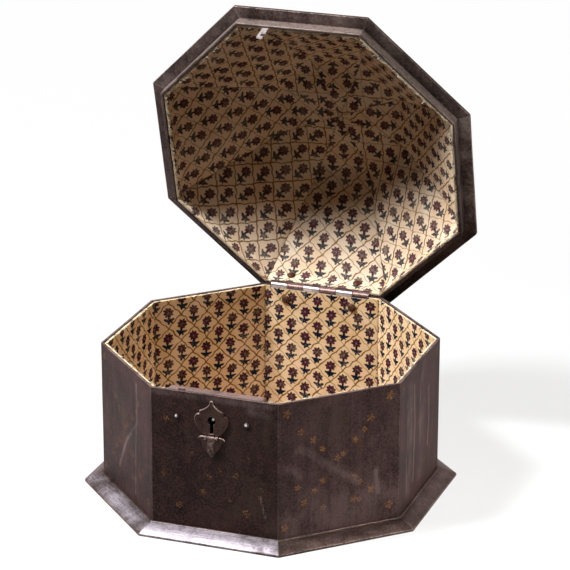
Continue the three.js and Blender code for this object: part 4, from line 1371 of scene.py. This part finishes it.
def plate_triangles(loops):
    """Points and faces of a flat plate between closed outlines."""
    points = [point for loop in loops for point in loop]
    edges, first = [], 0
    for loop in loops:
        edges += edges_of([first + i for i in range(len(loop))])
        first += len(loop)
    points += inner_points(loops)
    found = geometry.delaunay_2d_cdt([Vector(point) for point in points], edges, [], 0, 1e-5)
    flat = [tuple(point) for point in found[0]]
    middles = [(face, [sum(flat[i][axis] for i in face) / 3 for axis in (0, 1)]) for face in found[2]]
    return flat, [tuple(face) for face, middle in middles if on_plate(loops, *middle)]


def face_plate(outlines, back, height, wear_and_highlight, x, z):
    """A plate whose back lies at y = -back. height and wear take x, z and the distances
    to the outline and to the hole."""
    loops = [resampled(line) for line in outlines]
    flat, front = plate_triangles(loops)
    count = len(flat)
    verts, worn = [], []
    for px, pz in flat:
        room = [loop_distance(loop, px, pz) for loop in loops] + [99.0]
        verts.append((px + x, -back - height(px, pz, room[0], room[1]), pz + z))
        worn.append(wear_and_highlight(px, pz, room[0], room[1]))
    verts += [(px + x, -back, pz + z) for px, pz in flat]
    sides = {edge for face in front for edge in edges_of(face)}
    faces = front + [tuple(count + i for i in reversed(face)) for face in front]
    faces += [(b, a, count + a, count + b) for a, b in sorted(sides) if (b, a) not in sides]
    return verts, faces, worn + [0.0] * count


def plate_piece(name, plate, body, node, extra):
    """Joins a worked plate and its extra parts into a piece."""
    verts, faces, worn = plate
    every = joined([(verts, faces), *extra])
    fields = {"worn": worn + [FITTING_WEAR] * (len(every[0]) - len(verts))}
    return finish_mesh(name, *every, "lock", "lock_iron", body, (node,), fields, 26)


def escutcheon_height(px, pz, rim, hole):
    """A raised border, swelling shoulders, and a lip about the keyhole."""
    edge = ESCUTCHEON - 0.7 + 1.0 * ramp(rim, 0, 0.6) - 0.45 * ramp(rim, 0.9, 1.9)
    shoulder = ramp(abs(px), 7.5, 11.5) * ramp(rim, 0.8, 4.0) * 0.8
    ease = 0.45 * (1 - ramp(hole, 0, 0.6)) - 0.25 * ramp(hole, 0.3, 0.9) * (1 - ramp(hole, 1.1, 2.0))
    return edge + shoulder - ease


def escutcheon_wear_and_highlight(px, pz, rim, hole):
    # Worn bright about the keyhole; the border is paler towards the upper left, a painted highlight where the
    # light falls.
    toward_light = 0.5 + 0.5 * max(-1, min(1, (pz - px) / 12))
    border = (1 - ramp(rim, 0.6, 1.3)) * (0.08 + 1.1 * toward_light**2)
    return max(border, 0.5 * (1 - ramp(hole, 0.4, 1.0)))


def escutcheon():
    foot = COVER_TOP - COVER_DROP
    half = quadratic([
        (0, 20), (1.8, 20, 1.8, 18.2), (2.6, 13.2, 12, 9.5), (12, 6.4), (17, 6.4, 17, -0.5),
        (15, (-0.5 + foot) / 2, 8.6, foot), (0, foot),
    ])
    hole = [(px - KEY_X, pz - KEY_Z) for px, pz in keyhole_outline()]
    plate = face_plate([mirrored(half), hole], WALL_OUT, escutcheon_height, escutcheon_wear_and_highlight, KEY_X, KEY_Z)
    extra = []
    for way in (-1, 1):
        x0, x1 = sorted((KEY_X + way * COVER_EAR_NEAR, KEY_X + way * COVER_EAR_FAR))
        low, high = COVER_Z - COVER_KNUCKLE, COVER_Z + COVER_TOP + 1.6
        extra.append(turned(barrel_profile(COVER_KNUCKLE, x1 - x0, 0.2), x0, COVER_Y, COVER_Z, 28, "X"))
        extra.append(box_parts(x0, x1, -WALL_OUT - ESCUTCHEON, -WALL_OUT, low, high))
    plate_piece("escutcheon_plate", plate, "casket", "escutcheon", extra)


def cover_height(px, pz, rim, hole):
    """Facets rising from a thin edge to a long flat middle."""
    body = 1.0 + 0.5 * ramp(rim, 0, 0.35) + 0.5 * rim
    crest, level = 3.35 - 0.9 * ramp(-pz, 13, 19), COVER_PLATE - 0.3
    return min(body, level + (crest - level) * (1 - ramp(abs(px), 3.2, 4.2)) * ramp(-pz, 2.2, 3.4))


def cover_wear_and_highlight(px, pz, rim, hole):
    # The raised middle is partly rubbed and partly a painted highlight; the pale tops of the horns are a painted
    # highlight; the rest of the edge is worn.
    middle = (1 - ramp(abs(px + 0.4), 2.8, 4.0)) * ramp(-pz, 2.4, 3.6) * 0.6
    horn = (1 - ramp(rim, 0.3, 1.0)) * ramp(pz, -4.5, -2.0)
    return max(middle, horn, (1 - ramp(rim, 0.2, 0.7)) * 0.45)


def keyhole_cover():
    neck = COVER_EAR_FAR + FIT
    half = quadratic([
        (neck, -COVER_TOP), (neck, 0.8), (13.4, 0.8, 13.4, -2.7), (9.4, -(2.7 + COVER_KNUCKLE), 9.4, -8.5),
        (9.4 - 3.7, -(8.5 + 20.8) / 2, 0, -20.8),
    ])
    plate = face_plate([mirrored(half)], WALL_OUT + COVER_BACK, cover_height, cover_wear_and_highlight, KEY_X, COVER_Z)
    x0, x1 = KEY_X - COVER_KNUCKLE_LENGTH / 2, KEY_X + COVER_KNUCKLE_LENGTH / 2
    face = -(WALL_OUT + COVER_BACK + COVER_PLATE)
    low, high = COVER_Z - COVER_TOP - COVER_PLATE, COVER_Z - 0.2
    plate_piece("keyhole_cover_plate", plate, "cover", "keyhole_cover", [
        turned(barrel_profile(COVER_KNUCKLE, x1 - x0, 0.25), x0, COVER_Y, COVER_Z, 32, "X"),
        box_parts(x0, x1, face, face + COVER_PLATE, low, high, 0.3),
    ])


# Solids that keep their shape: finish, and width of the softened edges
KEPT = {
    "base_plate": ("lid", 0),
    "hinge_pin": ("worn", 0.2),
    "lock_case": ("lock", 0.25),
    "lock_top_plate": ("lock_top", 0.3),
    "lock_bolt": ("worn", 0.2),
    "bolt_spring": ("spring", 0),
    "key_pin": ("bright", 0.2),
    "keyhole_cover_pin": ("worn", 0.15),
    "lid_catch": ("bright", 0.25),
}


def dress_solids():
    for name, (finish, soft) in KEPT.items():
        node = frame["nodes"][name]
        node.data.materials.clear()
        node.data.materials.append(MATERIALS[finish])
        if soft:
            step = node.modifiers.new("soft_edges", "BEVEL")
            step.width, step.segments, step.limit_method = soft * MM, 2, "ANGLE"
            step.angle_limit = math.radians(50)


# Camera, light and floor

# Name, place, target, width, power, colour, and spread in degrees
LAMPS = [
    ("key", (-0.98, -0.68, 1.93), (0, 0, 0.15), 0.4, 87, (0.95, 0.975, 1.0), 180),
    ("top", (0.75, -0.2, 2.1), (0, 0, 0.15), 0.5, 8, (1.0, 0.84, 0.62), 180),
    ("gridded", (1.5, -0.5, 1.05), (0.1, -0.1, -0.16), 0.5, 0.7, (1.0, 0.96, 0.94), 24),
]


def aimed(name, data, spot, target):
    holder = linked(name, data)
    holder.location = spot
    holder.rotation_euler = (Vector(target) - Vector(spot)).to_track_quat("-Z", "Y").to_euler()
    return holder


def camera():
    lens = bpy.data.cameras.new("photo_camera")
    lens.lens = CAMERA_LENS
    lens.sensor_width = 36
    lens.shift_x, lens.shift_y = CAMERA_SHIFT
    lens.clip_end = 50
    bpy.context.scene.camera = aimed("photo_camera", lens, CAMERA_AT, CAMERA_LOOKS_AT)


def lamp(name, spot, target, size, power, colour, spread):
    light = bpy.data.lights.new(name, "AREA")
    light.shape, light.size, light.size_y = "RECTANGLE", size, size
    light.energy, light.color, light.spread = power, colour, math.radians(spread)
    aimed(name, light, spot, target)


def seen_directly(g):
    rays = g.wires(g.node("ShaderNodeLightPath"), "Is Camera Ray", "Is Glossy Ray", "Is Transmission Ray")
    return g.math("ADD", rays[0] + rays[1], rays[2], clamp=True)


def world():
    """White to the camera and in reflections, with no light of its own."""
    made = bpy.data.worlds.new("studio")
    made.use_nodes = True
    bpy.context.scene.world = made
    g = Graph(made.node_tree)
    g.fill(made.node_tree.nodes["Background"], {"Color": (1, 1, 1, 1), "Strength": seen_directly(g)})


def floor():
    """Pale to the camera, brighter away from the casket, and nearly black to other light."""
    mesh = bpy.data.meshes.new("studio_floor")
    mesh.from_pydata([(-6, -6, 0), (6, -6, 0), (6, 6, 0), (-6, 6, 0)], [], [(0, 1, 2, 3)])
    made, g, shader = material("studio_floor")
    seen = seen_directly(g)
    x, y, _ = g.split(g.spot())
    g.fill(shader, {"Base Color": g.mix(seen, (0.02, 0.02, 0.02, 1), (0.9, 0.9, 0.9, 1)), "Roughness": 0.9})
    share = seen * (g.smooth(g.hypot(x, y), 0.25, 1.1) * 0.2 + 0.78)
    layers = [Wire(g, shader.outputs[0]), g.make("ShaderNodeEmission")]
    blend = g.make("ShaderNodeMixShader", (share, *layers))
    g.feed(made.node_tree.nodes["Material Output"].inputs["Surface"], blend)
    mesh.materials.append(made)
    linked("studio_floor", mesh)


def studio():
    bpy.context.scene.view_settings.view_transform = "Standard"
    world()
    for values in LAMPS:
        lamp(*values)
    floor()


camera()
iron_sides()
crown_plate()
cotton_linings()
rivets()
hinge()
escutcheon()
keyhole_cover()
dress_solids()
studio()
